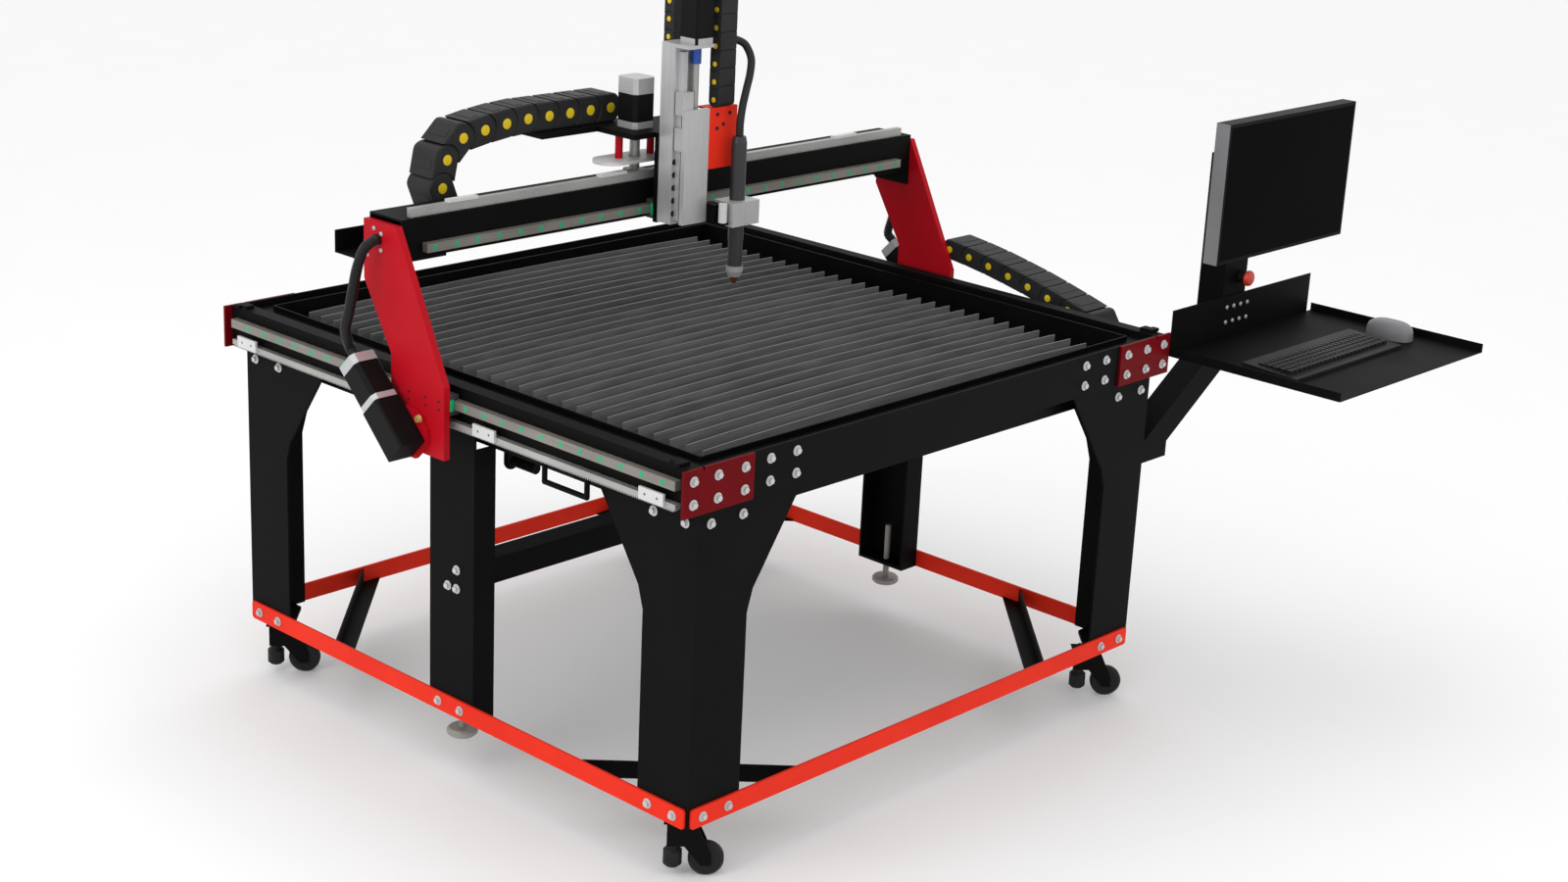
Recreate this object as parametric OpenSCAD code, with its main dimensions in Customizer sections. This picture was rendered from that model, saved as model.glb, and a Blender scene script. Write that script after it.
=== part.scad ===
// CNC plasma table with a rack-driven gantry, a water pan and an operator station.
// X runs along the front, Y towards the back, Z up. Sizes are in millimetres.

/* [Frame] */
// Width of the frame over the corner legs
table_w = 1520; // [1440:10:1640]
// Depth of the frame over the corner legs
table_d = 1512; // [1440:8:1640]
// Height of the apron tops above the floor
top_z = 930; // [905:1:965]
// Height of the aprons and the side beams
apron_h = 98; // [94:1:106]
// Thickness of the apron plates
apron_t = 5; // [4:0.5:8]
// Width of the side beams
beam_w = 35; // [30:1:40]
// Wall of the side beams
beam_wall = 4; // [3:0.5:6]
// Width of a corner leg flange
leg_w = 150; // [130:1:170]
// Thickness of the leg plates
leg_t = 6; // [4:0.5:8]
// Width of a corner leg flange behind the apron
flare_w = 300; // [280:1:320]
// Height of the flare below the apron
flare_h = 250; // [200:1:300]
// Height of the lower ends of the legs
leg_z = 140; // [134:1:150]
// Width of a middle leg
mid_leg_w = 150; // [130:1:180]
// Depth of a middle leg
mid_leg_d = 60; // [50:1:80]
// Height of the stretchers
stretcher_h = 44; // [40:1:50]
// Thickness of the stretchers
stretcher_t = 6; // [4:0.5:8]
// Distance of the corner braces from the corner
brace_reach = 330; // [280:1:380]
// Leg of the brace angle iron
brace_w = 40; // [30:1:42]
// Side of the square cross beam
cross_side = 60; // [40:1:80]
// Height of the cross beam centre
cross_z = 469; // [390:1:590]
// Thickness of the corner plates
corner_plate_t = 6; // [4:0.5:8]
// Reach of a corner plate inwards from the corner
corner_plate_in = 143; // [135:1:150]

/* [Pan and slats] */
// Gap between the frame outline and the pan walls
pan_inset = 45; // [40:1:55]
// Depth of the pan
pan_depth = 145; // [130:1:160]
// Sheet thickness of the pan
pan_t = 3; // [2:0.5:4]
// Drop of the pan rim below the apron tops
pan_drop = 3; // [2:1:6]
// Number of slats
slat_count = 30; // [20:1:34]
// Thickness of a slat
slat_t = 3; // [2:0.5:4]
// Height of a slat
slat_h = 90; // [70:1:100]
// Bow of a slat in plan
slat_bow = 22; // [0:1:30]
// Drop of the slat tops below the pan rim
slat_drop = 20; // [10:1:30]

/* [Rails and racks] */
// Width of the long rails
rail_w = 20; // [18:1:22]
// Height of the long rails
rail_h = 17.5; // [16:0.5:19]
// Drop of the long rail centres below the apron tops
rail_drop = 36; // [34:1:38]
// Length of a bearing block
block_l = 77; // [70:1:80]
// Width of a bearing block
block_w = 44; // [40:1:48]
// Height of a bearing block above the rail seat
block_h = 30; // [28:1:32]
// Gear module of racks and pinions
gear_m = 2; // [1.5:0.5:2]
// Teeth of a pinion
pinion_teeth = 24; // [20:1:26]
// Face width of racks and pinions
gear_face = 15; // [12:1:16]

/* [Gantry] */
// Distance of the beam front from the table front
gantry_y = 845; // [770:1:910]
// Height of the gantry beam top
gantry_top = 1265; // [1230:1:1300]
// Height of the gantry beam
gantry_h = 87; // [80:1:100]
// Depth of the gantry beam
gantry_d = 110; // [90:1:120]
// Wall of the gantry beam
gantry_wall = 5; // [4:0.5:8]
// Thickness of the gantry plates
gantry_plate_t = 16; // [12:1:20]

/* [Carriage and lift] */
// Distance of the lift channel centre from the left legs
lift_x = 680; // [620:1:740]
// Width of the lift channel
lift_w = 76; // [74:1:84]
// Length of the lift channel
lift_l = 408; // [390:1:440]
// Thickness of the carriage plate
carriage_t = 12; // [10:1:16]
// Width of the carriage plate
carriage_w = 164; // [160:1:180]
// Diameter of the ball screw
screw_d = 16; // [14:1:20]
// Diameter of the torch body
torch_d = 36; // [32:1:40]
// Length of the torch body
torch_l = 245; // [220:1:270]

/* [Motors] */
// Side of the square drive motors
motor_side = 66; // [60:1:76]
// Length of a drive motor
motor_l = 116; // [100:1:140]
// Side of the square lift motor
lift_motor_side = 57; // [50:1:60]
// Length of the lift motor
lift_motor_l = 112; // [90:1:125]

/* [Casters and feet] */
// Radius of a caster wheel
wheel_r = 38; // [34:1:38]
// Width of a caster wheel
wheel_w = 27; // [22:1:30]
// Trail of a caster
caster_trail = 42; // [36:1:46]
// Angle of the casters seen from above
caster_turn = -45; // [-180:5:180]
// Height of the caster pads above the floor
pad_lift = 18; // [16:1:22]
// Diameter of a levelling foot
foot_d = 70; // [60:1:76]
// Height of the levelling feet above the floor
foot_lift = 82; // [76:1:90]

/* [Station] */
// Width of the tray
tray_w = 664; // [640:1:760]
// Depth of the tray
tray_d = 490; // [440:1:520]
// Height of the tray floor
tray_z = 870; // [850:1:890]
// Width of the monitor
monitor_w = 552; // [520:1:600]
// Height of the monitor
monitor_h = 335; // [310:1:360]
// Height of the monitor centre
monitor_z = 1279; // [1240:1:1320]

/* [Hidden] */
$fn = 48;
over = 1;
run_gap = 0.3;
seat_gap = 0.05;
join_gap = 0.02;
half = 0.5;

// Levels and faces of the frame
apron_z = top_z - apron_h;
pan_seat_drop = 18;
seat_z = top_z - pan_seat_drop;
flare_z = apron_z - flare_h;
flare_shares = [[0, 0], [0.1, 0.2], [0.7, 0.735], [1, 1]];
foot_plate_t = 8;
foot_plate_w = 112;
foot_plate_side = 42;
mid_y = table_d / 2;
stretcher_inset = 6;
stretcher_round = 7;
brace_t = 4;
corner_plate_out = 55;
corner_notch = 6;

// Pan, combs and drain
pan_top = top_z - pan_drop;
pan_floor = pan_top - pan_depth;
rim_gap = 2;
comb_inset = 110;
comb_t = 4;
comb_h = 80;
slat_end = 72;
slat_top = pan_top - slat_drop;
slat_slot_gap = 0.6;
slat_first = 75;
slat_pitch = (table_d - 2 * slat_first) / (slat_count - 1);
slat_step_count = 12;
slat_len = table_w - 2 * (pan_inset + slat_end);
drain_r = 15;
drain_drop = 52;
drain_x = 110;
drain_y = 690;
drain_reach = 85;

// Rails and racks
rail_z = top_z - rail_drop;
rail_margin = 16;
rail_len = table_d - 2 * rail_margin;
block_lift = 4.6;
tooth_pitch = PI * gear_m;
backlash = 0.3;
mesh_gap = 0.1;
pressure_angle = 20;
dedendum_share = 1.25;
pitch_r = gear_m * pinion_teeth / 2;
rack_bar = 12;
rack_rise = 9;
rack_pitch_z = apron_z + rack_rise;
rack_block_l = 70;
rack_block_h = 26;
rack_block_t = 6;
rack_block_shares = [0.02, 0.38, 0.67, 0.98];
rack_hole_shares = [0.25, 0.75];
rack_block_z = rack_pitch_z + dedendum_share * gear_m + over;
stop_l = 34;
stop_w = 46;
stop_t = 8;
stop_lip = 8;

// Gantry
plate_in = beam_w + block_h;
plate_out = plate_in + gantry_plate_t;
gantry_low = gantry_top - gantry_h;
plate_hang = 119;
plate_low = rail_z - plate_hang;
plate_front = 160;
plate_back = 18;
plate_knee_rise = 43;
plate_knee_z = rail_z + plate_knee_rise;
plate_rear_rise = 79;
plate_rear_knee_z = rail_z + plate_rear_rise;
plate_rear_drop = 57;
plate_rear_up_z = gantry_low - plate_rear_drop;
plate_top_drop = 12;
plate_top_z = gantry_top - plate_top_drop;
block_place = 1;
block_y_front = gantry_y - plate_front + block_place;
block_y_back = gantry_y + plate_back - block_place - block_l;
end_bracket_l = 120;
end_bracket_t = 6;
end_bracket_drop = 42;
x_rail_rise = 22;
x_rail_z = gantry_low + x_rail_rise;
x_rail_trim = 55;
x_rail_len = table_w + 2 * (plate_in - x_rail_trim);
x_rack_in = 8;
x_rack_h = 20;
x_rack_pitch_y = gantry_y + x_rack_in + rack_bar + dedendum_share * gear_m;
x_rack_trim = 30;
x_clamp_l = 80;
x_clamp_h = 14;
x_clamp_shares = [0.07, 0.36, 0.88];
chain_tray_w = 104;
chain_tray_h = 50;
chain_tray_t = 3;
chain_tray_len = 820;
chain_tray_over = 15;

// Cross carriage
carriage_in = 40;
carriage_x = lift_x - carriage_in;
carriage_back = gantry_y - block_h;
carriage_front = carriage_back - carriage_t;
carriage_hang = 6;
carriage_low = gantry_low - carriage_hang;
motor_plate_rise = 104;
motor_plate_z = gantry_top + motor_plate_rise;
motor_plate_t = 12;
motor_plate_top = motor_plate_z + motor_plate_t;
x_block_gap = 3;
x_pinion_back = 30;
x_pinion_x = lift_x - x_pinion_back;
x_pinion_y = x_rack_pitch_y + pitch_r + mesh_gap;
x_pinion_rise = 3;
x_pinion_z = gantry_top + x_pinion_rise;
motor_round = 6;
chain_arm_l = 210;
chain_arm_w = 98;
chain_arm_over = 16;
chain_post_t = 6;
chain_post_w = 44;
chain_post_h = 330;
swing_plate_t = 8;
swing_plate_w = 150;
swing_plate_d = 84;
swing_plate_rise = 40;
swing_plate_z = gantry_top + swing_plate_rise;
swing_post_r = 9;

// Lift
lift_d = 44;
lift_wall = 6;
lift_hang = 3;
lift_low = gantry_low - lift_hang;
lift_top = lift_low + lift_l;
lift_back = carriage_front;
lift_face = lift_back - lift_d;
lift_cap_t = 8;
lift_cap_reach = 44;
z_rail_w = 15;
z_rail_h = 15;
z_rail_in = 18;
z_rail_trim = 10;
z_block_w = 34;
z_block_h = 28;
z_block_l = 52;
z_block_lift = 4.3;
z_block_step = 82;
z_block_over = 40;
slide_t = 12;
slide_h = 263;
slide_in = 140;
slide_top = lift_top - slide_in;
slide_low = slide_top - slide_h;
z_block_top = slide_top + z_block_over;
slide_back = lift_face - z_block_h;
slide_front = slide_back - slide_t;
screw_out = 14;
screw_x = lift_x + screw_out;
screw_stand = 14;
screw_y = lift_face - screw_stand;
screw_rise = 30;
screw_low = lift_low + screw_rise;
coupling_r = 12;
coupling_l = 46;
nut_side = 26;
nut_h = 40;
nut_drop = 30;
nut_trim = 2;
lift_motor_gap = 0.3;

// Torch and its clamp
torch_out = 108;
torch_x = lift_x + torch_out;
torch_stand = 30;
torch_y = slide_front - torch_stand;
torch_drop = 66;
torch_top = slide_top - torch_drop;
torch_neck_r = 15;
torch_neck_l = 60;
torch_cup_r = 20;
torch_cup_share = 0.75;
torch_cup_l = 26;
torch_tip_r = 11;
torch_tip_l = 16;
torch_cap_h = 14;
torch_low = torch_top - torch_l - torch_neck_l - torch_cup_l - torch_tip_l;
clamp_h = 56;
clamp_hang = 7;
clamp_z = slide_low - clamp_hang;
clamp_wall = 13;
clamp_side = torch_d + 2 * clamp_wall;
clamp_split = 2;
clamp_ear = 12;
clamp_arm_h = 44;
probe_r = 12;
probe_h = 44;
probe_ledge = 5;
bracket_x = lift_x + lift_w / 2;
bracket_t = 4;
bracket_w = 90;
bracket_h = 141;
bracket_low = slide_top - bracket_h;
bracket_flange = 40;

// Long-axis drives
drive_back = 58;
drive_y = gantry_y - drive_back;
drive_z = rack_pitch_z - pitch_r - mesh_gap;
drive_tilt_angle = 44;
gearbox_l = 121;
gearbox_low = 43;
drive_plate_t = 10;
drive_plate_side = 104;
drive_corner_share = 1.08;
pinion_hub_r = 12;
pinion_hub_gap = 1;
pinion_clear = 1;
drive_hole_gap = 3;

// Drag chains
x_link = 63;
x_link_h = 66;
x_link_w = 84;
x_chain_turn_angles = [0, 0, 0, 0, 4, 3, 3, 34, 34, 34, 34, 34];
x_chain_lower_count = 7;
x_chain_lap = 23;
x_chain_end = x_pinion_x - motor_side / 2 + x_chain_lap;
x_chain_y = gantry_y + gantry_d + (chain_tray_w - x_link_w) / 2;
y_link = 66;
y_link_h = 50;
y_link_w = 92;
y_chain_turn_angles = [7, 2, 2, 1, 2, 1, 1, 41, 41, 41, 41];
y_chain_hook_t = 6;
y_chain_hook_l = 90;
y_chain_hook_in = 18;
y_chain_lower_count = 4;
y_chain_rise = 93;
y_chain_z = rail_z + y_chain_rise;
y_chain_back = 140;
y_chain_y = gantry_y - y_chain_back;
z_link = 41;
z_link_h = 34;
z_link_w = 52;
z_chain_front_count = 8;
z_chain_bend_count = 6;
z_chain_rear_count = 6;
z_chain_out = 55;
z_chain_fore = 6;
z_chain_x = lift_x + z_chain_out;
z_chain_y = slide_back - z_chain_fore;
z_chain_r = z_link / 2 / sin(90 / z_chain_bend_count);
z_chain_rear_y = z_chain_y + 2 * z_chain_r;
y_chain_x = table_w + plate_out;
chain_wall = 5;
chain_bar = 5;
chain_gap = 0.4;
chain_clip_share = 0.75;
x_chain_turns = concat(x_chain_turn_angles, repeat(0, x_chain_lower_count));
x_chain_low = motor_plate_top + hinge(x_chain_turns, len(x_chain_turns) - 1, 180, x_link)[1];
y_chain_turns = concat(y_chain_turn_angles, repeat(0, y_chain_lower_count));
y_chain_end = [y_chain_y, y_chain_z] + hinge(y_chain_turns, len(y_chain_turns) - 1, 180, y_link);
z_chain_turns = concat(repeat(0, z_chain_front_count),
    repeat(-180 / z_chain_bend_count, z_chain_bend_count), repeat(0, z_chain_rear_count));

// Station
arm_side = 70;
arm_wall = 4;
arm_y = 20;
arm_plate_t = 8;
arm_left = table_w + arm_plate_t;
arm_drop = 235;
arm_plate_low = apron_z - arm_drop;
arm_plate_h = 186;
arm_stub = 120;
arm_stub_h = 38;
arm_rise_angle = 34;
tray_gap = 60;
tray_left = table_w + tray_gap;
tray_t = 3;
tray_lip = 22;
tray_back = 10;
tray_back_h = 105;
tray_back_inset = 26;
post_w = 98;
post_d = 72;
post_wall = 4;
post_shift = 45;
post_x = tray_left + tray_w / 2 - post_shift;
post_over = 45;
post_top = monitor_z + post_over;
monitor_t = 38;
monitor_bezel = 8;
monitor_glass_in = 1.5;
monitor_stand = 80;
vesa_side = 104;
vesa_t = 8;
estop_x_out = 24;
estop_rise = 146;
estop_z = tray_z + estop_rise;
estop_r = 20;
estop_cap_h = 14;
estop_stem_r = 9;
estop_travel = 6;
estop_collar_r = 15;
estop_collar_h = 12;
estop_cap_shares = [[0.9, 0], [1, 0.3], [0.92, 0.7], [0.7, 0.92]];
keyboard_w = 480;
keyboard_d = 150;
keyboard_h = 16;
keyboard_back = 195;
keyboard_left = 45;
key_side = 15;
key_step = 19;
key_h = 4;
key_row_count = 5;
key_col_count = 23;
mouse_l = 112;
mouse_w = 62;
mouse_h = 38;
mouse_out = 70;
mouse_side_share = 0.6;
mouse_step = 10;

// Pull handle and fasteners
handle_r = 6;
handle_span = 130;
handle_drop = 48;
handle_y = 304;
handle_x = 18;
bolt_low = 26;
bolt_high = 74;
plate_bolts_x = [-28, 40, 116];
apron_bolts_x = [195, 272];
leg_bolt_drop = 30;
leg_bolts_u = [35, 126];
stretcher_bolts_u = [38, 112];
stretcher_mid_u = 38;
leg_plate_bolts = [[-18, 22], [-18, -22], [12, -22]];
bolt_r = 8;
bolt_h = 6;
washer_r = 11;
washer_h = 2;

// Casters
caster_in = 58;
swivel_r = 20;
swivel_h = 16;
fork_t = 4;
fork_gap = 1.5;
axle_r = 6;
hub_r = 11;
tread_round = 6;
pad_out = 28;
pad_r = 20;
pad_h = 42;
pad_round = 6;
cheek_back = 4;
cheek_gap = 10;
cheek_low = pad_lift + pad_h + cheek_gap;
pad_sleeve_r = 13;
pad_sleeve_gap = 8;
pad_stud_r = 6;
pad_stud_over = 8;
stud_r = 8;
foot_stud_over = 95;
foot_pad_h = 18;
foot_pad_round = 5;
foot_x = mid_leg_d / 2 + leg_t / 2;
caster_places = [
    [caster_in, caster_in], [table_w - caster_in, caster_in],
    [caster_in, table_d - caster_in], [table_w - caster_in, table_d - caster_in]];
fork_half = wheel_w / 2 + fork_gap;
fork_top = leg_z - swivel_h;
pad_sleeve_top = fork_top - fork_t - pad_sleeve_gap;

// Cord routes, chosen by hand, in the frame of the legs
cord_side_count = 10;
rib_side_count = 8;
lead_r = 9;
lead_ring_count = 18;
lead_bend = [[0, 0, 30], [9, 3, 68], [26, 9, 106], [42, 15, 140], [50, 22, 172], [38, 30, 202]];
lead_rise = 214;
lead_way = [0, 1, 0];
lead_foot = [torch_x, torch_y, torch_top + join_gap];
lead_exit = [z_chain_x + z_link_w + run_gap, z_chain_y, torch_top + lead_rise];
lead_route = concat([lead_foot], [for (p = lead_bend) lead_foot + p],
    [for (k = [2, 1, 0]) lead_exit + [k * lead_r, 0, 0]]);
conduit_r = 12;
conduit_bore_r = 9;
conduit_groove = 1.6;
conduit_step_count = 46;
conduit_start = [0, 60, 37];
conduit_way = [0, 1, 0.2];
conduit_bend = [[-12, 0, -1], [-36, 2, -16], [-50, 8, -56], [-54, 18, -106], [-54, 32, -156], [-54, 46,
    -200]];
conduit_lift = [16, 36];
motor_way = [0, cos(drive_tilt_angle), sin(drive_tilt_angle)];
motor_end = [-plate_out - drive_plate_t - motor_side / 2, drive_y, drive_z]
    + (gearbox_l + motor_l - gearbox_low) * motor_way;
conduit_foot = [-plate_out - join_gap, gantry_y, gantry_low] + conduit_start;
conduit_route = concat([conduit_foot], [for (p = conduit_bend) conduit_foot + p],
    [for (d = [conduit_lift[1], conduit_lift[0], join_gap]) motor_end + d * motor_way]);

// Middle of the plan outline, which lies over the origin
left_reach = -plate_out - drive_plate_t - motor_side;
right_reach = tray_left + tray_w;
front_reach = tray_back - tray_d;
back_reach = table_d + apron_t + corner_plate_t + washer_h + bolt_h;
mid = [(left_reach + right_reach) / 2, (front_reach + back_reach) / 2];

// Placing helpers
module right_too() {
    children();
    translate([table_w, 0, 0]) mirror([1, 0, 0]) children();
}

module back_too() {
    children();
    translate([0, table_d, 0]) mirror([0, 1, 0]) children();
}

module four_corners() right_too() back_too() children();

// A box between two opposite corners
module span(lo, hi) translate(lo) cube(hi - lo);

// A plate drawn in the X-Z plane, from y0 towards the back
module xz_plate(y0, thick) translate([0, y0 + thick, 0]) rotate([90, 0, 0]) linear_extrude(thick)
    children();

// A plate drawn in the Y-Z plane, from x0 towards the right
module yz_plate(x0, thick) translate([x0, 0, 0]) rotate([90, 0, 90]) linear_extrude(thick) children();

// A box section between two corners along one axis, open at both ends
module box_tube_x(lo, hi, wall) difference() {
    span(lo, hi);
    span([lo[0] - over, lo[1] + wall, lo[2] + wall], [hi[0] + over, hi[1] - wall, hi[2] - wall]);
}

module box_tube_y(lo, hi, wall) difference() {
    span(lo, hi);
    span([lo[0] + wall, lo[1] - over, lo[2] + wall], [hi[0] - wall, hi[1] + over, hi[2] - wall]);
}

// A bolt head on its washer, on a face that looks along -Y
module bolt_front(x, y, z) translate([x, y, z]) rotate([90, 0, 0]) bolt_head();

// The same on a face that looks along -X
module bolt_left(x, y, z) translate([x, y, z]) rotate([0, -90, 0]) bolt_head();

module bolt_head() {
    cylinder(r = washer_r, h = washer_h);
    translate([0, 0, washer_h]) cylinder(r = bolt_r, h = bolt_h);
}

// Outline of one leg flange, with its widening top
module flange_outline(width, wide) polygon(concat(
    [[0, leg_z], [width, leg_z]],
    [for (s = flare_shares) [width + s[0] * (wide - width), flare_z + s[1] * flare_h]],
    [[wide, seat_z], [0, seat_z]]));

module corner_leg() union() {
    xz_plate(0, leg_t) flange_outline(leg_w, flare_w);
    yz_plate(0, leg_t) flange_outline(leg_w, flare_w);
    translate([0, 0, leg_z]) linear_extrude(foot_plate_t) polygon([
        [0, 0], [foot_plate_w, 0], [foot_plate_w, foot_plate_side],
        [foot_plate_side, foot_plate_w], [0, foot_plate_w]]);
}

module corner_legs() color("#101012") four_corners() corner_leg();

module middle_leg() difference() {
    union() {
        span([0, mid_y - mid_leg_w / 2, leg_z], [leg_t, mid_y + mid_leg_w / 2, seat_z]);
        for (y = [mid_y - mid_leg_w / 2, mid_y + mid_leg_w / 2 - leg_t])
            span([0, y, leg_z], [mid_leg_d, y + leg_t, pan_floor]);
        span([0, mid_y - mid_leg_w / 2, leg_z], [mid_leg_d, mid_y + mid_leg_w / 2, leg_z + foot_plate_t]);
    }
    translate([foot_x, mid_y, leg_z - over])
        cylinder(r = stud_r + seat_gap, h = foot_plate_t + 2 * over);
}

module middle_legs() color("#101012") right_too() middle_leg();

module aprons() color("#0c0c0e") back_too()
    span([-beam_w, -apron_t, apron_z], [table_w + beam_w, 0, top_z]);

module side_beams() color("#0e0e10") right_too()
    box_tube_y([-beam_w, 0, apron_z], [0, table_d, top_z], beam_wall);

// Plan offset of a bowed slat at a distance from its middle
function bow_at(x) = slat_bow * (1 - pow(2 * x / slat_len, 2)) - slat_bow * half;

module comb(x) difference() {
    span([x, pan_inset + pan_t, pan_floor], [x + comb_t, table_d - pan_inset - pan_t, pan_floor + comb_h]);
    for (i = [0:slat_count - 1]) let (y = slat_first + i * slat_pitch + bow_at(x + comb_t / 2 - table_w / 2))
        span([x - over, y - slat_t / 2 - slat_slot_gap, slat_top - slat_h],
             [x + comb_t + over, y + slat_t / 2 + slat_slot_gap, pan_floor + comb_h + over]);
}

module water_pan() color("#0b0b0c") {
    difference() {
        union() {
            span([pan_inset, pan_inset, pan_floor], [table_w - pan_inset, table_d - pan_inset, pan_top]);
            span([rim_gap, rim_gap, seat_z], [table_w - rim_gap, table_d - rim_gap, seat_z + pan_t]);
            translate([drain_x, drain_y, pan_floor - drain_drop]) cylinder(r = drain_r,
                h = drain_drop + pan_t);
            translate([drain_x, drain_y, pan_floor - drain_drop + drain_r / 2]) rotate([90, 0, 0])
                cylinder(r = drain_r - pan_t, h = drain_reach);
            translate([drain_x, drain_y, pan_floor - drain_drop]) sphere(r = drain_r);
        }
        span([pan_inset + pan_t, pan_inset + pan_t, pan_floor + pan_t],
             [table_w - pan_inset - pan_t, table_d - pan_inset - pan_t, pan_top + over]);
    }
    comb(pan_inset + comb_inset);
    comb(table_w - pan_inset - comb_inset - comb_t);
}

module slat(y) translate([table_w / 2, y, slat_top - slat_h]) linear_extrude(slat_h) polygon(concat(
    [for (i = [0:slat_step_count]) let (x = slat_len * (i / slat_step_count - half)) [x,
        bow_at(x) - slat_t / 2]],
    [for (i = [0:slat_step_count]) let (x = slat_len * (half - i / slat_step_count)) [x,
        bow_at(x) + slat_t / 2]]));

module slats() color("#4a4a4b") for (i = [0:slat_count - 1]) slat(slat_first + i * slat_pitch);

// A flat bar with round ends, standing on edge along X
module stretcher_bar(x0, x1) xz_plate(-stretcher_t, stretcher_t) union() {
    translate([x0 + stretcher_round, leg_z]) square([x1 - x0 - 2 * stretcher_round, stretcher_h]);
    translate([x0, leg_z + stretcher_round]) square([x1 - x0, stretcher_h - 2 * stretcher_round]);
    for (x = [x0 + stretcher_round, x1 - stretcher_round])
        for (z = [leg_z + stretcher_round, leg_z + stretcher_h - stretcher_round])
            translate([x, z]) circle(r = stretcher_round);
}

module stretchers() color("#ff2405") {
    back_too() stretcher_bar(stretcher_inset, table_w - stretcher_inset);
    right_too() rotate([0, 0, 90]) mirror([0, 1, 0]) stretcher_bar(stretcher_inset,
        table_d - stretcher_inset);
}

// A diagonal strip in plan between the inner faces of two stretchers
module brace_strip(reach, width) polygon([
    [0, reach], [0, reach + width * sqrt(2)], [reach + width * sqrt(2), 0], [reach, 0]]);

module floor_braces() color("#131315") {
    four_corners() translate([0, 0, leg_z]) {
        linear_extrude(brace_t) brace_strip(brace_reach, brace_w);
        linear_extrude(brace_w) brace_strip(brace_reach, brace_t);
    }
    box_tube_x([leg_t, mid_y - cross_side / 2, cross_z - cross_side / 2],
               [table_w - leg_t, mid_y + cross_side / 2, cross_z + cross_side / 2], beam_wall);
}

module y_rails() color("#5c5752") right_too()
    span([-beam_w - rail_h, rail_margin, rail_z - rail_w / 2],
         [-beam_w, table_d - rail_margin, rail_z + rail_w / 2]);

// Outline of a rack whose teeth point along -v, with a gap centred on u = 0
module rack_outline(u0, u1, bar) {
    slope = tan(pressure_angle);
    root = dedendum_share * gear_m;
    wide = tooth_pitch / 4 - backlash / 2;
    first = ceil((u0 + wide + root * slope) / tooth_pitch - half);
    last = floor((u1 - wide - root * slope) / tooth_pitch - half);
    polygon(concat(
        [[u0, root + bar], [u0, root]],
        [for (i = [first:last]) let (c = (i + half) * tooth_pitch) each [
            [c - wide - root * slope, root], [c - wide + gear_m * slope, -gear_m],
            [c + wide - gear_m * slope, -gear_m], [c + wide + root * slope, root]]],
        [[u1, root], [u1, root + bar]]));
}

// Half width, in degrees, of a pinion tooth at a radius
function inv_deg(a) = tan(a) * 180 / PI - a;
function tooth_half(r, base) = 90 / pinion_teeth + inv_deg(pressure_angle) - backlash / pitch_r * 180 / PI / 4
    - inv_deg(acos(min(1, base / r)));

// Outline of a pinion with one tooth pointing along +v
module pinion_outline() {
    base = pitch_r * cos(pressure_angle);
    root = pitch_r - dedendum_share * gear_m;
    radii = [root, max(root, base), (base + pitch_r) / 2, pitch_r, pitch_r + gear_m * half,
        pitch_r + gear_m];
    polygon([for (i = [0:pinion_teeth - 1]) let (c = 90 - i * 360 / pinion_teeth) each concat(
        [for (r = radii) let (a = c + tooth_half(max(r, base), base)) [r * cos(a), r * sin(a)]],
        [for (k = [len(radii) - 1:-1:0]) let (r = radii[k], a = c - tooth_half(max(r, base), base))
            [r * cos(a), r * sin(a)]])]);
}

// A clamp block on the outside of a rack
module rack_block(y) difference() {
    span([-beam_w - gear_face - join_gap - rack_block_t, y, rack_block_z],
         [-beam_w - gear_face - join_gap, y + rack_block_l, rack_block_z + rack_block_h]);
    for (s = rack_hole_shares)
        translate([-beam_w - gear_face - rack_block_t - over, y + s * rack_block_l,
            rack_block_z + rack_block_h / 2])
            rotate([0, 90, 0]) cylinder(r = rack_block_t / 2, h = rack_block_t + 2 * over);
}

module rail_stop(y) union() {
    span([-beam_w, y, top_z], [-beam_w + stop_w / 2, y + stop_l, top_z + stop_t]);
    span([-beam_w - stop_lip, y, top_z], [-beam_w, y + stop_l / 2, top_z + stop_t]);
}

module y_racks() right_too() {
    color("#6f6c68") yz_plate(-beam_w - gear_face, gear_face) translate([drive_y, rack_pitch_z])
        rack_outline(rail_margin - drive_y, table_d - rail_margin - drive_y, rack_bar);
    color("#d8d8d8") for (s = rack_block_shares)
        rack_block(rail_margin + s * (rail_len - rack_block_l));
    color("#3a3a3a") back_too() rail_stop(rail_margin);
}

module corner_plate() xz_plate(-apron_t - corner_plate_t, corner_plate_t) difference() {
    translate([-corner_plate_out, apron_z]) square([corner_plate_out + corner_plate_in, apron_h]);
    translate([-corner_notch / 2, top_z - corner_notch]) square([corner_notch, corner_notch + over]);
}

module corner_plates() color("#a80014") four_corners() corner_plate();

module frame_bolts() color("#d9dadc") {
    four_corners() {
        for (z = [bolt_low, bolt_high]) {
            for (x = plate_bolts_x) bolt_front(x, -apron_t - corner_plate_t, apron_z + z);
            for (x = apron_bolts_x) bolt_front(x, -apron_t, apron_z + z);
        }
        for (u = leg_bolts_u) {
            bolt_front(u, 0, apron_z - leg_bolt_drop);
            bolt_left(0, u, apron_z - leg_bolt_drop);
        }
        for (u = stretcher_bolts_u) {
            bolt_front(u, -stretcher_t, leg_z + stretcher_h / 2);
            bolt_left(-stretcher_t, u, leg_z + stretcher_h / 2);
        }
    }
    right_too() {
        for (s = [-1, 1]) bolt_left(-stretcher_t, mid_y + s * stretcher_mid_u, leg_z + stretcher_h / 2);
        for (p = leg_plate_bolts) bolt_left(0, mid_y + p[0], cross_z + p[1]);
    }
}

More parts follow.
